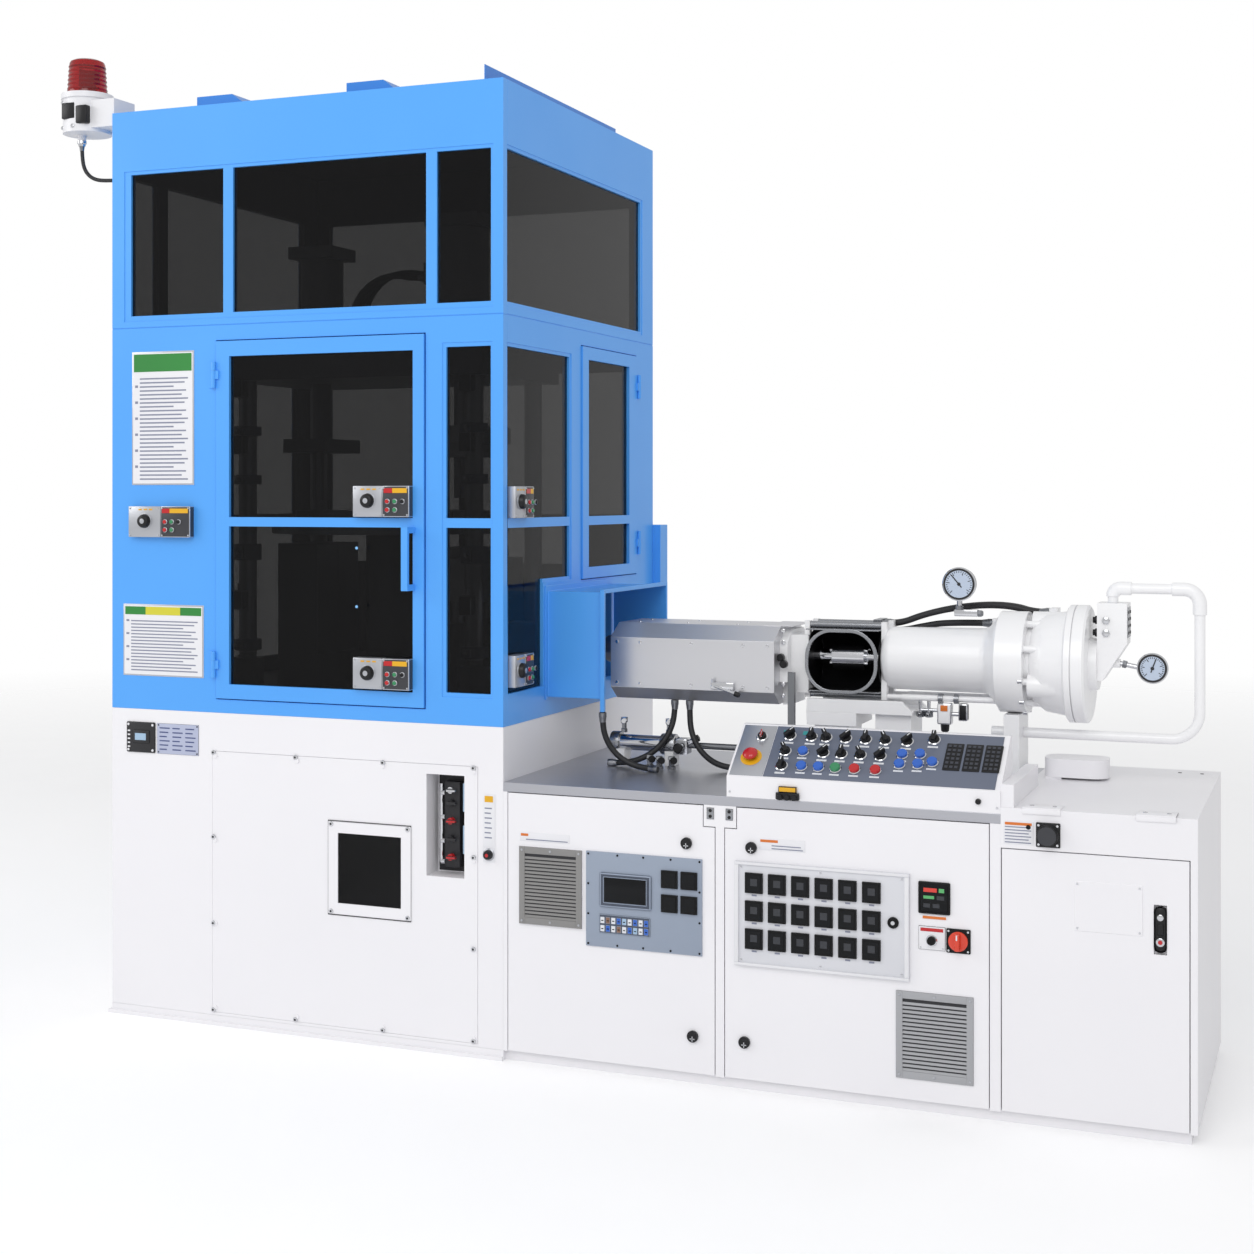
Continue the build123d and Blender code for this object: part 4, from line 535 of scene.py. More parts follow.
for n in range(7):
    block(shape, (-66, front - 2.6, 720 + 16 * n), (-40 - 4 * (n % 2), front - 1.8, 724 + 16 * n), 2)
key_switch = (-51, front, 667)
turned(shape, ((0, 21), (4, 21), (6, 18)), key_switch, 3)
turned(shape, ((5, 16), (16, 15), (20, 12)), key_switch, 4)
turned(shape, ((19, 6), (20.5, 6)), key_switch, 5, 16)
label_finish = (plate_white, signal_yellow, plate_ink, silver_edge, black_moulding, signal_red)
piece("base_label_strip", shape, label_finish, "machine", ("tower_devices",))
shape = bmesh.new()
panel_face = front - 1.5
# Chrome socket head screws. The dark disc in each head is painted shade in its hex socket.
for columns, rows in (
    ((-1112, -444, -107, -782), (52, 946)),
    ((-1112, -107), (353, 653)),
    ((-642, -350), (434, 729)),
):
    heads(shape, ((0, 8.6), (3.2, 8.6), (4.6, 7.4)), columns, panel_face, rows, 0, 18)
    heads(shape, ((4.6, 4.2), (4.9, 4.2)), columns, panel_face, rows, 1, 6)
# A thin dark strip round the sight window's frame: a painted shadow line along the frame's edge.
for x0, z0, x1, z1 in (
    (-654.5, 421.5, -652, 741.5), (-340, 421.5, -337.5, 741.5),
    (-652, 421.5, -340, 424), (-652, 739, -340, 741.5),
):
    block(shape, (x0, front - 2.4, z0), (x1, front - 1, z1), 1)
piece("panel_screws", shape, (chrome, dull_black), "machine")


# Air and water fittings in the base's tall slot: a black manifold with red, black and chrome
# valve handles, a chrome feed pipe on its left and two pale blue plates on its right.
shape = bmesh.new()
# A thin black sheet at the back of the slot, as painted shade in its depth behind the fittings.
block(shape, (-277, -564, 585), (-145, -562, 915))
block(shape, (-238, -602, 604), (-182, -564, 888), 0, 3)
for z, paint in ((640, 1), (700, 0), (760, 1), (820, 0), (862, 2)):
    bar(shape, (-210, -602, z), (-210, -618, z), 11, paint)
    block(shape, (-222, -628, z - 5), (-186, -618, z + 5), paint, 2)
bar(shape, (-252, -596, 620), (-252, -596, 880), 7, 2)
for z in (622, 690, 770, 850):
    bar(shape, (-252, -596, z), (-238, -596, z), 9, 2)
for z in (650, 790):
    block(shape, (-172, -600, z), (-150, -597, z + 96), 3, 1)
slot_finish = (dull_black, signal_red, chrome, pale_display)
piece("slot_fittings", shape, slot_finish, "machine", ("tower_devices",))


# Console on the worktop: a slate grey panel let into a white folded desk, with rows of black
# selectors on chrome bezels, coloured push buttons, a key switch and a membrane key matrix.
# Below its front edge are small fittings and the two plates on the post between the doors.

# The enamel is an even satin grey. The push buttons are glossy lenses with one bright spot each.
slate_panel = finish("slate grey enamel", ("6C7384", "606778"), (0.35, 0.45), 0.03, 0.0001)
lens_blue = finish("blue push button", ("1F63C8", "1A57B6"), (0.15, 0.25), Coat_Weight=0.5)
lens_white = finish("white push button", ("E6E8EC", "D9DCE2"), (0.15, 0.25), Coat_Weight=0.5)
slope = math.atan2(142, 175)
desk_place = Matrix.Translation((0, front, 970)) @ Matrix.Rotation(slope, 4, "X")
shape = bmesh.new()
block(shape, (881, 6, 0), (1593, 219, 2), 0, 0.6)
block(shape, (772, 6, 0), (879, 219, 1), 1, 0.4)
panel_coats = (slate_panel, silver_edge)
on_desk = ("console_controls",)
piece("console_panel", shape, panel_coats, "machine", on_desk, desk_place)
upward = (0, 0, 1)
shape = bmesh.new()
selectors = [(x, 178) for x in (930, 999, 1046, 1109, 1172, 1234, 1302)] + [(1383, 191)]
selectors += [(x, 112) for x in (929, 1051, 1108, 1168, 1230)] + [(931, 51)]
for n, (x, s) in enumerate(selectors):
    turned(shape, ((1, 20), (4, 20), (6, 17)), (x, s, 0), 2, 24, upward)
    turned(shape, ((5, 17), (12, 16), (14, 14)), (x, s, 0), 0, 24, upward)
    lean = stood((x, s, 0), (-38, 0, 32)[n % 3], "Z")
    block(shape, (-6.5, -19, 12), (6.5, 19, 29), 0, 2, lean)
    block(shape, (-1.4, 4, 28.6), (1.4, 17, 29.6), 1, 0, lean)
    block(shape, (x - 16, s - 32, 1.6), (x + 16, s - 25, 2.6), 1)
buttons = [(987, 112, 3), (1297, 122, 3), (1351, 126, 3), (995, 51, 3), (1049, 51, 3), (1102, 51, 4)]
buttons += [(1162, 51, 5), (1227, 51, 5), (1295, 81, 3), (1351, 85, 3), (1393, 96, 3)]
for x, s, paint in buttons:
    turned(shape, ((1, 19), (6, 19), (8, 17)), (x, s, 0), 2, 24, upward)
    turned(shape, ((6, 16), (15, 16), (18, 13.5)), (x, s, 0), paint, 24, upward)
    block(shape, (x - 15, s - 27, 1.6), (x + 15, s - 21, 2.6), 1)
for x in (905, 968):
    block(shape, (x, 186, 1.6), (x + 14, 202, 2.6), 6)
for column in range(3):
    x = 1426 + 59 * column
    block(shape, (x, 70, 1.5), (x + 52, 180, 5), 0, 2)
    for row in range(6):
        for key in range(3):
            key_x = x + 5 + 15 * key
            key_s = 77 + 17 * row
            block(shape, (key_x, key_s, 4.6), (key_x + 11, key_s + 11, 6.4), 7, 0.8)
teal_tag = finish("teal engraved tag", ("2E9A9C", "278B8E"))
dark_key = finish("dark grey key caps", ("3C3F48", "343740"), (0.4, 0.5), 0.01, 0.0001)
knob_finish = (black_moulding, lens_white, chrome, lens_blue, signal_green, signal_red, teal_tag, dark_key)
piece("console_knobs", shape, knob_finish, "machine", on_desk, desk_place)
stop_place = (825, 82, 0)
shape = bmesh.new()
turned(shape, ((0, 34), (2.4, 34), (3, 31)), stop_place, 0, 32, upward)
turned(shape, ((3, 11), (10, 11)), stop_place, 1, 24, upward)
ring_coats = (signal_yellow, black_moulding)
piece("emergency_stop_ring", shape, ring_coats, "machine", on_desk, desk_place)
shape = bmesh.new()
mushroom = ((23, 12.5), (13, 12.5), (13, 16), (15, 23), (20, 24), (25, 20), (28, 13))
turned(shape, mushroom, stop_place, 0, 32, upward)
for x, s in ring(stop_place[0], stop_place[1], 11, 3):
    block(shape, (x - 2.5, s - 2.5, 24), (x + 2.5, s + 2.5, 26), 1)
head_coats = (signal_red, lens_white)
piece(
    "emergency_stop_head", shape, head_coats, "emergency_stop", ("emergency_stop",),
    desk_place
)
shape = bmesh.new()
key_place = (841, 168, 0)
turned(shape, ((0, 19), (5, 19), (7, 16)), key_place, 0, 28, upward)
turned(shape, ((6, 14), (15, 13), (16, 10)), key_place, 1, 28, upward)
block(shape, (838, 155, 15), (844, 181, 27), 2, 1.5)
key_coats = (chrome, black_moulding, signal_red)
piece("console_key_switch", shape, key_coats, "machine", on_desk, desk_place)
shape = bmesh.new()
block(shape, (926, front - 12, 908), (1000, front, 930), 0, 3)
block(shape, (934, front - 10, 930), (992, front, 949), 1, 3)
heads(shape, ((0, 9), (8, 9), (10, 7)), (940, 963, 986), front - 10, (916,), 0, 18)
for x in (700, 762):
    block(shape, (x, front - 1.6, 832), (x + 24, front, 868), 3, 0.6)
    heads(shape, ((0, 5.5), (2, 5)), (x + 12,), front - 1.6, (841, 859), 0, 14)
turned(shape, ((0, 9), (8, 8), (9, 6)), (1545, front, 938), sides=20)
heads(shape, ((0, 4), (2, 3.5)), (775, 1600), front, (922,), 2, 14)
front_coats = (black_moulding, signal_yellow, chrome, plated_steel)
piece("console_front_fittings", shape, front_coats, "machine")


# Operator panel on the first cabinet door: a blue grey enamelled plate with a screen in a dark
# bezel, a membrane keypad and four square instruments, held by a ring of black screws.

# The plate, bezel and keys are satin. The screen is smooth dark glass with a weak reflection, and
# the instrument bezels are matt, so that they read as the darkest squares.
panel_blue_grey = finish("blue grey enamel", ("9AA5B6", "8D98AA"), (0.35, 0.45), 0.03, 0.0001)
bezel_grey = finish("dark grey bezel", ("4A5262", "424A5A"), (0.35, 0.45))
screen_glass = finish(
    "dark screen glass", ("06080B", "0A0C10"), (0.18, 0.26), 0.05, 0.00002, Specular_IOR_Level=0.25
)
deep_black = finish(
    "matt black bezel", ("08080A", "0C0C0E"), (0.45, 0.6), 0.01, 0.0001, Specular_IOR_Level=0.25
)
brown_key = finish("brown key caps", ("8A6A58", "7D5F4E"), (0.35, 0.45), 0.01, 0.0001)
shape = bmesh.new()
block(shape, (294, front - 5, 403), (686, front, 705), 0, 1)
block(shape, (343, front - 11, 532), (518, front - 5, 641), 1, 5)
block(shape, (356, front - 12.5, 545), (505, front - 10.5, 630), 2, 3)
block(shape, (341, front - 7.5, 448), (514, front - 5, 508), 1, 2)
for row in range(2):
    for column in range(9):
        x = 345 + 18.6 * column
        z = 453 + 26 * row
        paint = (3, 4, 3, 5, 3, 4, 6, 3, 4)[(column + 2 * row) % 9]
        block(shape, (x, front - 9, z), (x + 15, front - 7, z + 21), paint, 1)
        block(shape, (x + 4, front - 9.6, z + 8), (x + 11, front - 8.8, z + 11), 7)
for x, z in ((554, 610), (619, 610), (554, 534), (619, 534)):
    block(shape, (x - 2, front - 12, z - 2), (x + 52, front - 5, z + 53), 7)
    block(shape, (x + 4, front - 13, z + 4), (x + 46, front - 11.5, z + 47), 2)
screw = ((0, 3.6), (1.6, 3.2), (2, 2))
heads(shape, screw, (302, 402, 490, 582, 678), front - 5, (411, 697), 7)
heads(shape, screw, (302, 678), front - 5, (506, 602), 7)
panel_finish = (
    panel_blue_grey, bezel_grey, screen_glass, lens_white, lens_blue, brown_key, pale_display, deep_black
)
piece("operator_panel", shape, panel_finish, "cabinet_door_1", ("control_panel",))


# Temperature panel on the second door: a pale enamelled sheet hinged at its left, folded up
# at the edges, with eighteen black controllers in three rows, each with a dim grey display.

# The enamel is a satin off white, a shade darker than the door. The unlit displays stay dim.
pale_panel = finish("pale grey enamel", ("DDDEE3", "D2D3D9"), (0.35, 0.45), 0.05, 0.0002)
dim_display = finish("unlit grey display", ("34363C", "2A2C31"), (0.15, 0.25), 0.01, 0.0001)
shape = bmesh.new()
block(shape, (794, front - 10, 391), (1341, front - 0.3, 710), 0, 1)
for x0, z0, x1, z1 in (
    (794, 400, 808, 701), (1327, 400, 1341, 701), (794, 391, 1341, 400), (794, 701, 1341, 710)
):
    block(shape, (x0, front - 14.3, z0), (x1, front - 9, z1), 1, 1)
for column in range(6):
    for row in range(3):
        x = 833 + 73.8 * column
        z = 447 + 86 * row
        block(shape, (x - 3, front - 18, z - 3), (x + 53, front - 10, z + 59), 2)
        block(shape, (x + 3, front - 19, z + 3), (x + 47, front - 17.4, z + 53), 3)
        block(shape, (x + 15, front - 19.6, z + 20), (x + 37, front - 18.6, z + 42), 4)
        block(shape, (x + 17, front - 10.8, z - 13), (x + 33, front - 9.8, z - 8), 5)
selector = (1293, front - 10, 562)
turned(shape, ((0, 17), (5, 17), (7, 14)), selector, 2, 28)
turned(shape, ((7, 7), (9, 6)), selector, 6, 20)
screw = ((0, 3.6), (1.6, 3.2), (2, 2))
heads(shape, screw, (816, 1068, 1319), front - 10, (408, 693), 6)
heat_finish = (pale_panel, white_moulding, deep_black, screen_glass, dim_display, plate_ink, chrome)
piece(
    "temperature_controllers", shape, heat_finish, "temperature_panel",
    ("temperature_panel",)
)


# Instruments of the second door: a square black controller with lit figures kept as plain
# bars, a white switch plate, and the red orange rotary main switch on its black square.

# The lit bars are plain bright colours under clear glass. The handle is a glossy red orange.
lit_red = finish("lit red display", ("E03A2A", "C93022"), (0.2, 0.3), 0.01, 0.0001, Coat_Weight=0.4)
lit_green = finish("lit green display", ("59B36A", "4DA35E"), (0.2, 0.3), 0.01, 0.0001, Coat_Weight=0.4)
shape = bmesh.new()
block(shape, (1367, front - 8, 596), (1463, front, 692), 0, 4)
block(shape, (1374, front - 9.5, 603), (1456, front - 7.5, 685), 1, 2)
for x0, z0, x1, z1, paint in (
    (1384, 662, 1424, 674, 2),
    (1430, 662, 1446, 674, 3),
    (1384, 642, 1416, 651, 3),
    (1424, 640, 1446, 652, 4),
    (1384, 616, 1404, 628, 4),
    (1412, 616, 1432, 628, 4),
):
    block(shape, (x0, front - 10.4, z0), (x1, front - 9, z1), paint)
block(shape, (1368, front - 4, 489), (1448, front, 559), 5, 1)
block(shape, (1374, front - 5, 544), (1442, front - 3.6, 554), 6)
switch = (1408, front - 4, 518)
turned(shape, ((0, 17), (4, 17), (6, 15)), switch, 7, 24)
turned(shape, ((5, 13.5), (14, 12.5), (16, 10)), switch, sides=24)
block(shape, (1451, front - 5, 486), (1523, front, 558), 0, 3)
heads(shape, ((0, 3.6), (1.6, 3.2)), (1458, 1516), front - 5, (493, 551), 7)
heads(shape, ((0, 3), (1.4, 2.6)), (1374, 1442), front - 4, (495,), 7)
dials = (deep_black, screen_glass, lit_red, lit_green, dim_display, plate_white, signal_red, chrome)
piece("second_door_instruments", shape, dials, "cabinet_door_2", ("door_instruments",))
orange_moulding = finish("red orange moulded plastic", ("E0442A", "D03A22"), (0.2, 0.3), Coat_Weight=0.3)
shape = bmesh.new()
x = 1487
z = 522
turned(shape, ((0, 29), (6, 29), (9, 26)), (x, front - 5.3, z), sides=36)
block(shape, (x - 7, front - 32, z - 25), (x + 7, front - 13, z + 25), 0, 3)
block(shape, (x - 2, front - 33, z + 8), (x + 2, front - 31, z + 23), 1)
bar(shape, (x, front - 5, z), (x, -614.2, z), 5, 2)
main_finish = (orange_moulding, lens_white, chrome)
piece("main_switch_handle", shape, main_finish, "main_switch_knob", ("main_switch_knob",))


# Vents: pressed grey grilles in a shallow frame, with a row of sloping louvres. Each louvre
# reads as a grey lip over a fine dark gap.

# The enamel on the grilles is duller than that of the doors; the sheet behind is painted shade.
vent_shadow = finish("painted shade behind the grille", ("2E2E32", "27272B"), (0.6, 0.7), 0.05, 0.0002)
vent_dark = finish("mid grey enamelled grille", ("8E8D8C", "848382"), (0.45, 0.55), 0.05, 0.0002)
vent_pale = finish("pale grey enamelled grille", ("ABACB0", "A0A1A5"), (0.45, 0.55), 0.05, 0.0002)
louvre_count = 17
louvre_slope = 62
for number, x0, x1, z0, z1, back, coat in (
    ("1", 60, 280, 454, 704, front - 4.2, vent_dark),
    ("2", 1299, 1531, 99, 359, front, vent_pale),
):
    shape = bmesh.new()
    # The dark sheet behind the louvres is painted shade.
    block(shape, (x0, back - 0.6, z0), (x1, back, z1), 1)
    for x in (x0, x1 - 20):
        block(shape, (x, back - 4, z0), (x + 20, back - 0.4, z1), 0, 0.8)
    for z in (z0, z1 - 22):
        block(shape, (x0 + 20, back - 4, z), (x1 - 20, back - 0.4, z + 22), 0, 0.8)
    step = (z1 - z0 - 50) / louvre_count
    for row in range(louvre_count):
        lean = stood((0, back, z0 + 31 + step * row), louvre_slope, "X")
        block(shape, (x0 + 20, -9, -1.2), (x1 - 20, 0, 0), 0, 0, lean)
    columns = (x0 + 10, (x0 + x1) / 2, x1 - 10)
    heads(shape, ((0, 4), (1.6, 3.6), (2.2, 2)), columns, back - 4, (z0 + 11, z1 - 11), 2, 14)
    vent_finish = (coat, vent_shadow, silver_edge)
    piece("vent_grille_" + number, shape, vent_finish, "cabinet_door_" + number)


# Labels of the cabinets: short printed aluminium plates, glued on and kept bare. Each has an
# orange band at its head and, where there is room, a few ruled grey lines.
label_orange = finish("printed orange band", ("E07A2E", "D06E26"))
for name, x0, x1, z0, z1, body, head in (
    ("label_first_door", 60, 235, 721, 749, "cabinet_door_1", 30),
    ("label_second_door", 871, 1017, 749, 785, "cabinet_door_2", 60),
    ("label_right_cabinet", 1619, 1705, 820, 888, "machine", 0),
    ("label_controller", 1376, 1454, 584, 593, "cabinet_door_2", 0),
):
    shape = bmesh.new()
    block(shape, (x0, front - 1.4, z0), (x1, front, z1), 0, 0.4)
    block(shape, (x0 + 4, front - 2, z1 - 12), (x1 - 4 if not head else x0 + head, front - 1, z1 - 4), 1)
    for row in range(int((z1 - z0 - 14) / 9)):
        z = z0 + 4 + 9 * row
        block(shape, (x0 + 4 + head * 0.6, front - 2, z), (x1 - 6 - 7 * (row % 2), front - 1, z + 3), 2)
    piece(name, shape, (plate_white, label_orange, plate_ink), body)


# Right cabinet: a black service socket on a square flange, a flush lift handle with a chrome
# lock, the four screws of the door's bare plate, and the white hinge plates of the lid.
shape = bmesh.new()
block(shape, (1713, front - 6, 817), (1783, front, 889), 0, 3)
socket_x = 1748
socket_z = 853
turned(shape, ((0, 31), (14, 31), (16, 29), (20, 29), (22, 26)), (socket_x, front - 6, socket_z), sides=40)
turned(shape, ((21, 27), (23.5, 27)), (socket_x, front - 6, socket_z), 2, 40)
for x, z in ring(socket_x, socket_z, 29.5, 16):
    block(shape, (x - 2, front - 20, z - 2), (x + 2, front - 8, z + 2))
heads(shape, ((0, 4), (2, 3.5)), (1721, 1775), front - 6, (825, 881), 1, 14)
turned(shape, ((0, 7), (2, 7)), (1691, front, 872), sides=18)
socket_finish = (black_moulding, chrome, dark_plate)
piece("service_socket", shape, socket_finish, "machine", ("tower_devices",))
shape = bmesh.new()
block(shape, (2044, front - 3, 540), (2080, -638, 671), 0, 14)
x = 2062
turned(shape, ((0, 12), (3, 12), (4, 10)), (x, front - 2, 570), 1, 28)
turned(shape, ((3, 7), (5, 6)), (x, front - 2, 570), 2, 20)
turned(shape, ((0, 9), (3, 9), (4, 7)), (x, front - 2, 640), 1, 24)
block(shape, (x - 9, front - 5, 590), (x + 9, front - 2, 622), 0, 3)
handle_finish = (black_moulding, chrome, signal_red)
piece("lift_handle", shape, handle_finish, "latch_handle", ("latch_handle",))
shape = bmesh.new()
for x0 in (1673, 1995):
    block(shape, (x0, front - 4.5, 911), (x0 + 110, front, 925), 0, 1)
    block(shape, (x0, front - 4.5, 925), (x0 + 110, -575, 929.6), 0, 1)
    for x in (x0 + 22, x0 + 88):
        turned(shape, ((0, 7), (1.6, 6), (2, 4)), (x, -610, 929.5), 1, 18, (0, 0, 1))
heads(shape, ((0, 3.4), (1.6, 3)), (1831, 2005), front - 2, (591, 718), 1)
for x in (2040, 2110):
    turned(shape, ((0, 6), (1, 6)), (x, 240, 925), 2, 16, (0, 0, 1))
piece("lid_hinge_plates", shape, (white_paint, chrome, dull_black), "machine")


# Latch crosses: the bright cross in the face of each black quarter turn lock, pressed from
# chromed steel. It is let into the lock and turns with it.
for number, x, z in (("1", 634, 745), ("2", 655, 144), ("3", 846, 746), ("4", 824, 144)):
    shape = bmesh.new()
    block(shape, (x - 8, front - 10, z - 1.3), (x + 8, front - 8.6, z + 1.3))
    block(shape, (x - 1.3, front - 10, z - 8), (x + 1.3, front - 8.6, z + 8))
    piece("latch_cross_" + number, shape, (chrome,), "door_latch_" + number)


# Handle screws of the front door: a round head in each foot of the bow handle, in a pale blue
# enamel that shows as two small lighter dots.
light_blue = finish("pale blue enamel", ("8CC8FC", "7EBEF9"), (0.22, 0.32), 0.05, 0.0002, Coat_Weight=0.3)
shape = bmesh.new()
heads(shape, ((0, 5), (1.6, 4.6), (2, 3)), (-525,), front - 34, (1467, 1663), 0, 14)
piece("door_handle_screws", shape, (light_blue,), "front_door")


# Injection unit fittings: a chrome toggle clamp with a black grip on the side of the heater
# cover, the dome screws of the brushed sheets, and the socket screws of the cast flanges.
bolt_count = 12
bolt_circle = 158
shape = bmesh.new()
dome = ((0, 6), (2, 5.6), (2.6, 3))
heads(shape, dome, (214, 300, 484, 668, 754), -190, (1196, 1336), 0, 14)
for x in (250, 430, 610, 750):
    for y in (-60, 60):
        turned(shape, dome, (x, y, 1396.5), 0, 14, (0, 0, 1))
block(shape, (560, -206, 1186), (640, -189.5, 1210), 0, 3)
bar(shape, (572, -204, 1198), (648, -214, 1176), 4.5)
turned(shape, ((0, 9), (14, 9), (18, 7)), (648, -214, 1176), 1, 16, (1, -0.1, -0.3))
bar(shape, (566, -202, 1206), (566, -202, 1222), 3.5)
for y, z in ring(0, 1287, bolt_circle, bolt_count, 0.5):
    turned(shape, ((0, 8), (14, 8), (15, 5)), (1589, y, z), 0, 16, (-1, 0, 0))
piece("injection_screws", shape, (chrome, black_moulding), "carriage")


# Pressure gauges: a polished bezel round a pale dial with black ticks and a fine needle, closed
# at the back by a black case. Each stands on a chromed stem with a hexagon union.

# The dial is a pale blue white print under glass, and the case a glossy black.
dial_white = finish("pale gauge dial", ("C6D2E4", "BAC8DC"))
gauge_case = finish("black gauge case", ("0C0D11", "121318"), (0.25, 0.35), Coat_Weight=0.3)
for name, x, z, radius, aim in (("gauge_top", 1361, 1546, 56, -40), ("gauge_end", 1978, 1289, 49, 20)):
    shape = bmesh.new()
    turned(shape, ((0, radius - 3), (24, radius - 3)), (x, 12, z), 1, 48)
    turned(shape, ((0, radius), (5, radius), (7, radius - 2.5), (7, radius - 4)), (x, -12, z), 0, 48)
    turned(shape, ((0, radius - 4), (1.5, radius - 4), (1.5, radius - 11)), (x, -18.4, z), 1, 48)
    turned(shape, ((0, radius - 11), (0.6, radius - 11)), (x, -19.6, z), 2, 48)
    for n in range(27):
        lean = stood((x, -20.4, z), 10.4 * n - 225, "Y")
        inner = radius - (25 if n % 5 == 0 else 18)
        block(shape, (inner, -0.3, -1.1), (radius - 13, 0.3, 1.1), 1, 0, lean)
    lean = stood((x, -21, z), aim - 90, "Y")
    block(shape, (-14, -0.3, -1.8), (radius - 17, 0.3, 1.8), 1, 0, lean)
    turned(shape, ((0, 6), (2, 5)), (x, -20.4, z), 1, 16)
    piece(name, shape, (chrome, gauge_case, dial_white), "carriage", ("gauges",))
shape = bmesh.new()
bar(shape, (1361, -8, 1459), (1361, -8, 1492), 9)
turned(shape, ((0, 13), (12, 13), (14, 9)), (1361, -8, 1462), 1, 6, (0, 0, 1))
block(shape, (1345, -20, 1440), (1423, 6, 1462), 0, 3)
turned(shape, ((0, 12), (10, 12), (16, 8)), (1423, -8, 1450), 1, 6, (1, 0, 0))
bar(shape, (1878, -8, 1301), (1931, -8, 1291), 8)
turned(shape, ((0, 13), (12, 13), (14, 9)), (1885, -8, 1300), 1, 6, (1, 0, -0.2))
piece("gauge_fittings", shape, (chrome, ground_steel), "carriage")


# Air and hydraulic lines: extruded black rubber hose, dull and even, each pushed into a crimped
# steel ferrule at both ends. Their routes follow the pipework between the machine's fittings.

# The rubber is matt and a shade lighter than black, with no clear highlight along it.
hose_rubber = finish("black rubber hose", ("1B1B1D", "242427"), (0.45, 0.6), 0.01, 0.0002)
routes = {"beacon_cable_run": (14, "beacon_cable", "machine", 285, (
    (-1726, -580, 3125), (-1726, -580, 3069), (-1714, -580, 3017), (-1674, -580, 2983),
    (-1609, -580, 2975), (-1548, -580, 2975),
))}
tower_route = (
    (-595, 2640), (-657, 2640), (-717.6, 2652.9), (-779.5, 2648.6), (-836.1, 2623.3),
    (-880.7, 2580.3), (-907.9, 2524.6), (-916.5, 2463.2),
)
for number, y, rise, length in (("1", -52, 0, 544), ("2", 0, 12, 556), ("3", 52, 24, 568)):
    points = [(x, y, z + rise) for x, z in tower_route] + [(-916.5, y, 2350)]
    routes["tower_hose_" + number] = (22, "tower_hoses", "machine", length, points)
arch_route = (
    (1086, 84, 1403), (1138, 84, 1403), (1218, 90, 1436), (1326, 94, 1462),
    (1436, 92, 1474), (1526, 88, 1470), (1586, 86, 1452), (1641, 86, 1452),
)
for number, aside in (("1", 0), ("2", 28)):
    points = [(x, y + aside, z) for x, y, z in arch_route]
    routes["arch_hose_" + number] = (22, "arch_hoses", "carriage", 567, points)
routes["arch_hose_3"] = (22, "arch_hoses", "carriage", 369, (
    (1086, 90, 1379), (1142, 90, 1379), (1216, 98, 1396), (1301, 100, 1412), (1452, 100, 1412),
))
for number, length, points in (
    ("1", 313, (
        (207.5, -304, 1105), (207.5, -304, 1060.4), (215.3, -296.5, 1016.4), (236.2, -289, 977),
        (268.3, -281.5, 946), (308.5, -274, 926.4), (352.4, -274, 918.6), (397, -274, 916.3),
    )),
    ("2", 370, (
        (452, -112, 1136.7), (452, -112, 1084.6), (461.1, -125.5, 1033.2), (485.5, -139, 987.2),
        (523, -152.5, 950.9), (569.9, -166, 928.1), (621.3, -166, 919), (673.3, -166, 916.3),
    )),
    ("3", 373, (
        (400, -119, 1136.7), (400, -119, 1084.6), (390.9, -135.5, 1033.2), (366.5, -152, 987.2),
        (329, -168.5, 950.9), (282.1, -185, 928.1), (230.7, -185, 919), (178.7, -185, 916.3),
    )),
):
    routes["lower_conduit_" + number] = (20, "lower_conduits", "machine", length, points)
for name, (thick, stands_for, body, length, points) in routes.items():
    line = bpy.data.curves.new(name, "CURVE")
    line.dimensions = "3D"
    line.resolution_u = 12
    line.bevel_depth = thick / 2000
    line.bevel_resolution = 5
    line.use_fill_caps = True
    run = line.splines.new("NURBS")
    run.points.add(len(points) - 1)
    for held, (x, y, z) in zip(run.points, points):
        held.co = (x / 1000, y / 1000, z / 1000, 1)
    run.order_u = 3
    run.use_endpoint_u = True
    line.materials.append(hose_rubber)
    hose = bpy.data.objects.new(name, line)
    view.collection.objects.link(hose)
    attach(hose, body)
    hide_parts(stands_for)
    shape = bmesh.new()
    radius = thick / 2
    collar = ((2, radius + 3.5), (16, radius + 3.5), (18, radius + 2.5), (34, radius + 0.6))
    for end, ahead in ((points[0], points[1]), (points[-1], points[-2])):
        turned(shape, collar, end, 0, 24, Vector(ahead) - Vector(end))
    piece(name + "_ferrules", shape, (ground_steel,), body)


# Inside of the oval window: a black half round behind the coupling and black end plates, painted
# shade for the unlit inside of the housing, so that only the plated shaft and the rim catch light.
axis_z = 1287
shape = bmesh.new()
for x in (866, 1108):
    turned(shape, ((0, 99), (2, 99)), (x, 0, axis_z), 0, 40, (1, 0, 0))
rows = []
arc = [math.radians(10 * n - 90) for n in range(19)]
for radius in (101.6, 100.2):
    for x in (868, 1108):
        spots = [(x, radius * math.cos(a), axis_z + radius * math.sin(a)) for a in arc]
        rows.append([shape.verts.new(spot) for spot in spots])
for one, two in ((0, 1), (2, 3), (0, 2), (1, 3)):
    for n in range(18):
        shape.faces.new((rows[one][n], rows[one][n + 1], rows[two][n + 1], rows[two][n]))
for n in (0, 18):
    shape.faces.new([rows[row][n] for row in (0, 1, 3, 2)])
for z in (1386.5, 1185.3):
    block(shape, (868, -88, z), (1108, 0, z + 2.1))
piece("window_painted_shade", shape, (deep_black,), "carriage")


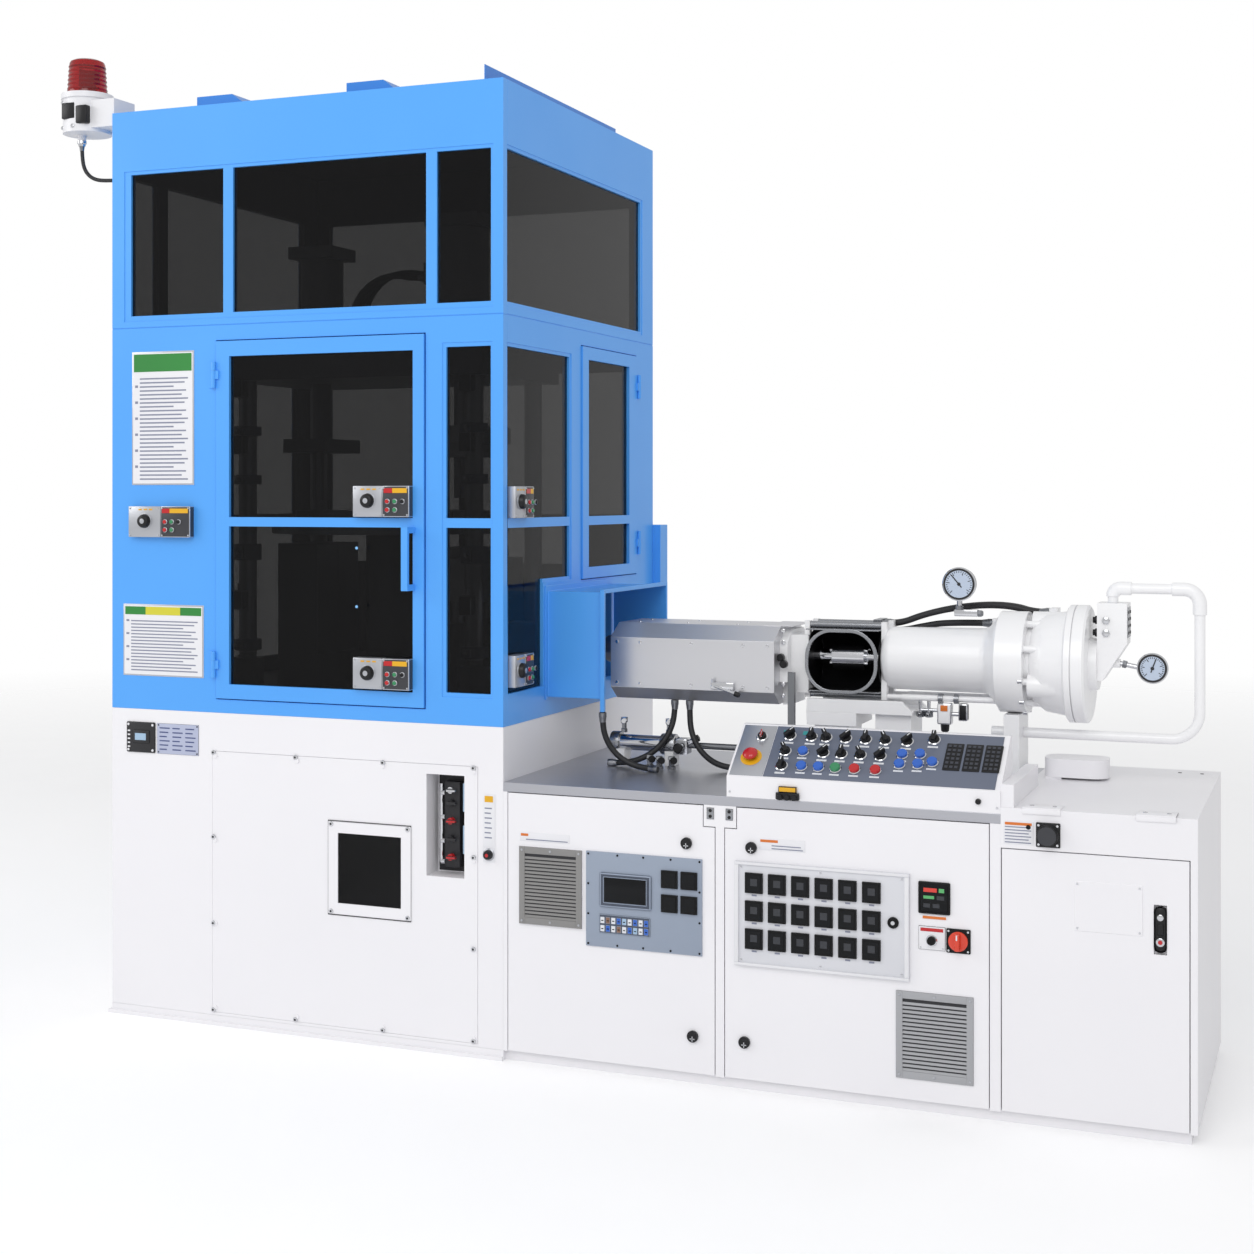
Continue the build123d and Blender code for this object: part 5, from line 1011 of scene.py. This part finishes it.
# Nozzle touch cylinder on the worktop: a ground and chromed tube with steel heads, under a
# cluster of elbows, check valves and black gland nuts.
cylinder_y = -100
cylinder_z = 979
along = (1, 0, 0)
upward = (0, 0, 1)
shape = bmesh.new()
for x, long in ((162, 33), (347, 51)):
    head = ((0, 35.5), (3, 36.5), (long - 3, 36.5), (long, 35.5))
    turned(shape, head, (x, cylinder_y, cylinder_z), 1, 36, along)
turned(shape, ((0, 27.2), (150, 27.2)), (196, cylinder_y, cylinder_z), 0, 36, along)
elbow = ((0, 12), (12, 12), (14, 9), (34, 9), (36, 13), (52, 13))
for x, z in ((205, 1013), (372, 1015)):
    turned(shape, elbow, (x, cylinder_y, z), 1, 6, upward)
    turned(shape, ((0, 11), (26, 11), (28, 8)), (x, cylinder_y, z + 42), 0, 20, (0.3, -1, 0))
for y, z in ring(cylinder_y, cylinder_z, 26, 4, 0.5):
    turned(shape, ((0, 6), (8, 6), (9, 4)), (396, y, z), 2, 12, along)
block(shape, (408, -138, 950), (450, -84, 1004), 1, 4)
bar(shape, (428, -138, 976), (428, -168, 976), 12)
turned(shape, ((0, 17), (10, 17), (14, 12)), (428, -160, 976), 2, 20)
bar(shape, (446, -112, 988), (476, -112, 1004), 9)
turned(shape, ((0, 14), (14, 14), (17, 9)), (470, -112, 1001), 2, 6, (1, 0, 0.5))
valve = ((0, 15), (10, 15), (12, 11), (30, 11), (34, 15), (44, 12))
for x, y in ((330, -176), (372, -196), (412, -184)):
    turned(shape, valve, (x, y, 906), 1, 6, upward)
    turned(shape, ((0, 9), (18, 9), (20, 12), (28, 12)), (x, y, 936), 2, 16, (0.6, -0.8, 0.1))
piece("touch_cylinder_fittings", shape, (chrome, plated_steel, black_moulding), "machine")


# Neck and housing fittings: black lock knobs at the neck, a small white lubricator with an orange
# tag under the housing, its valves, and the plated steel plate and unions of the end manifold.
shape = bmesh.new()
for x, z in ((788, 1296), (799, 1274)):
    turned(shape, ((0, 6), (14, 6), (15, 13), (32, 13), (34, 10)), (x, -125, z), 1, 20)
heads(shape, ((0, 8), (7, 8), (8, 5)), (791,), -125, (1166, 1204, 1346, 1384), 0, 6)
for x in (1300, 1352):
    turned(shape, ((0, 16), (16, 16)), (x, -50, 1170), 2, 24, (1, 0, 0))
block(shape, (1298, -68, 1086), (1346, -34, 1156), 3, 5)
turned(shape, ((0, 15), (22, 13), (26, 8)), (1322, -51, 1086), 1, 24, (0, 0, -1))
block(shape, (1310, -70, 1130), (1334, -67, 1150), 4, 0.6)
bar(shape, (1346, -51, 1120), (1376, -51, 1120), 7)
block(shape, (1368, -66, 1100), (1398, -36, 1156), 1, 4)
for x in (1240, 1268):
    bar(shape, (x, -50, 1162), (x, -50, 1118), 6)
    turned(shape, ((0, 14), (16, 14), (18, 10)), (x, -50, 1124), 2, 6, (0, 0, -1))
    block(shape, (x - 4, -74, 1112), (x + 4, -50, 1120), 1, 1)
bar(shape, (1240, -50, 1130), (1298, -50, 1130), 6)
block(shape, (1903, -40, 1385), (1905, 40, 1482), 2, 0.6)
for y in (-24, 24):
    for z in (1400, 1422, 1444, 1466):
        turned(shape, ((0, 5), (2, 5)), (1905, y, z), 1, 12, (1, 0, 0))
for z in (1400, 1440):
    turned(shape, ((0, 15), (8, 15), (10, 11), (16, 11)), (1811, -30, z), 1, 6, (-1, 0, 0))
    turned(shape, ((0, 13), (6, 13), (8, 9)), (1838, -52, z), sides=6)
neck_finish = (chrome, black_moulding, plated_steel, cast_white, label_orange)
piece("neck_and_housing_fittings", shape, neck_finish, "carriage")


# Columns of the stations, as far as the panes let them be seen: ground tie bars with clamped
# collars, and black sensor heads with their brackets on the front pair.
shape = bmesh.new()
for x in (-1236, -304):
    for y in (-250, 250):
        turned(shape, ((0, 33), (1180, 33)), (x, y, 1260), 0, 32, (0, 0, 1))
    for z, high in ((1268, 40), (1600, 60), (1880, 34), (2060, 34), (2360, 60)):
        turned(shape, ((0, 48), (2, 50), (high - 2, 50), (high, 48)), (x, -250, z), 1, 32, (0, 0, 1))
        block(shape, (x - 16, -312, z + 6), (x + 16, -290, z + high - 6), 1, 2)
        turned(shape, ((0, 7), (8, 7), (9, 5)), (x, -312, z + high / 2), sides=6)
    for z in (1420, 1990, 2200):
        block(shape, (x - 24, -326, z), (x + 24, -284, z + 70), 2, 3)
        bar(shape, (x, -305, z + 70), (x, -305, z + 96), 8)
piece("column_collars", shape, (ground_steel, bezel_grey, black_moulding), "machine")


size = {"cad": cad_box, "scene": [list(corner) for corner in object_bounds()]}
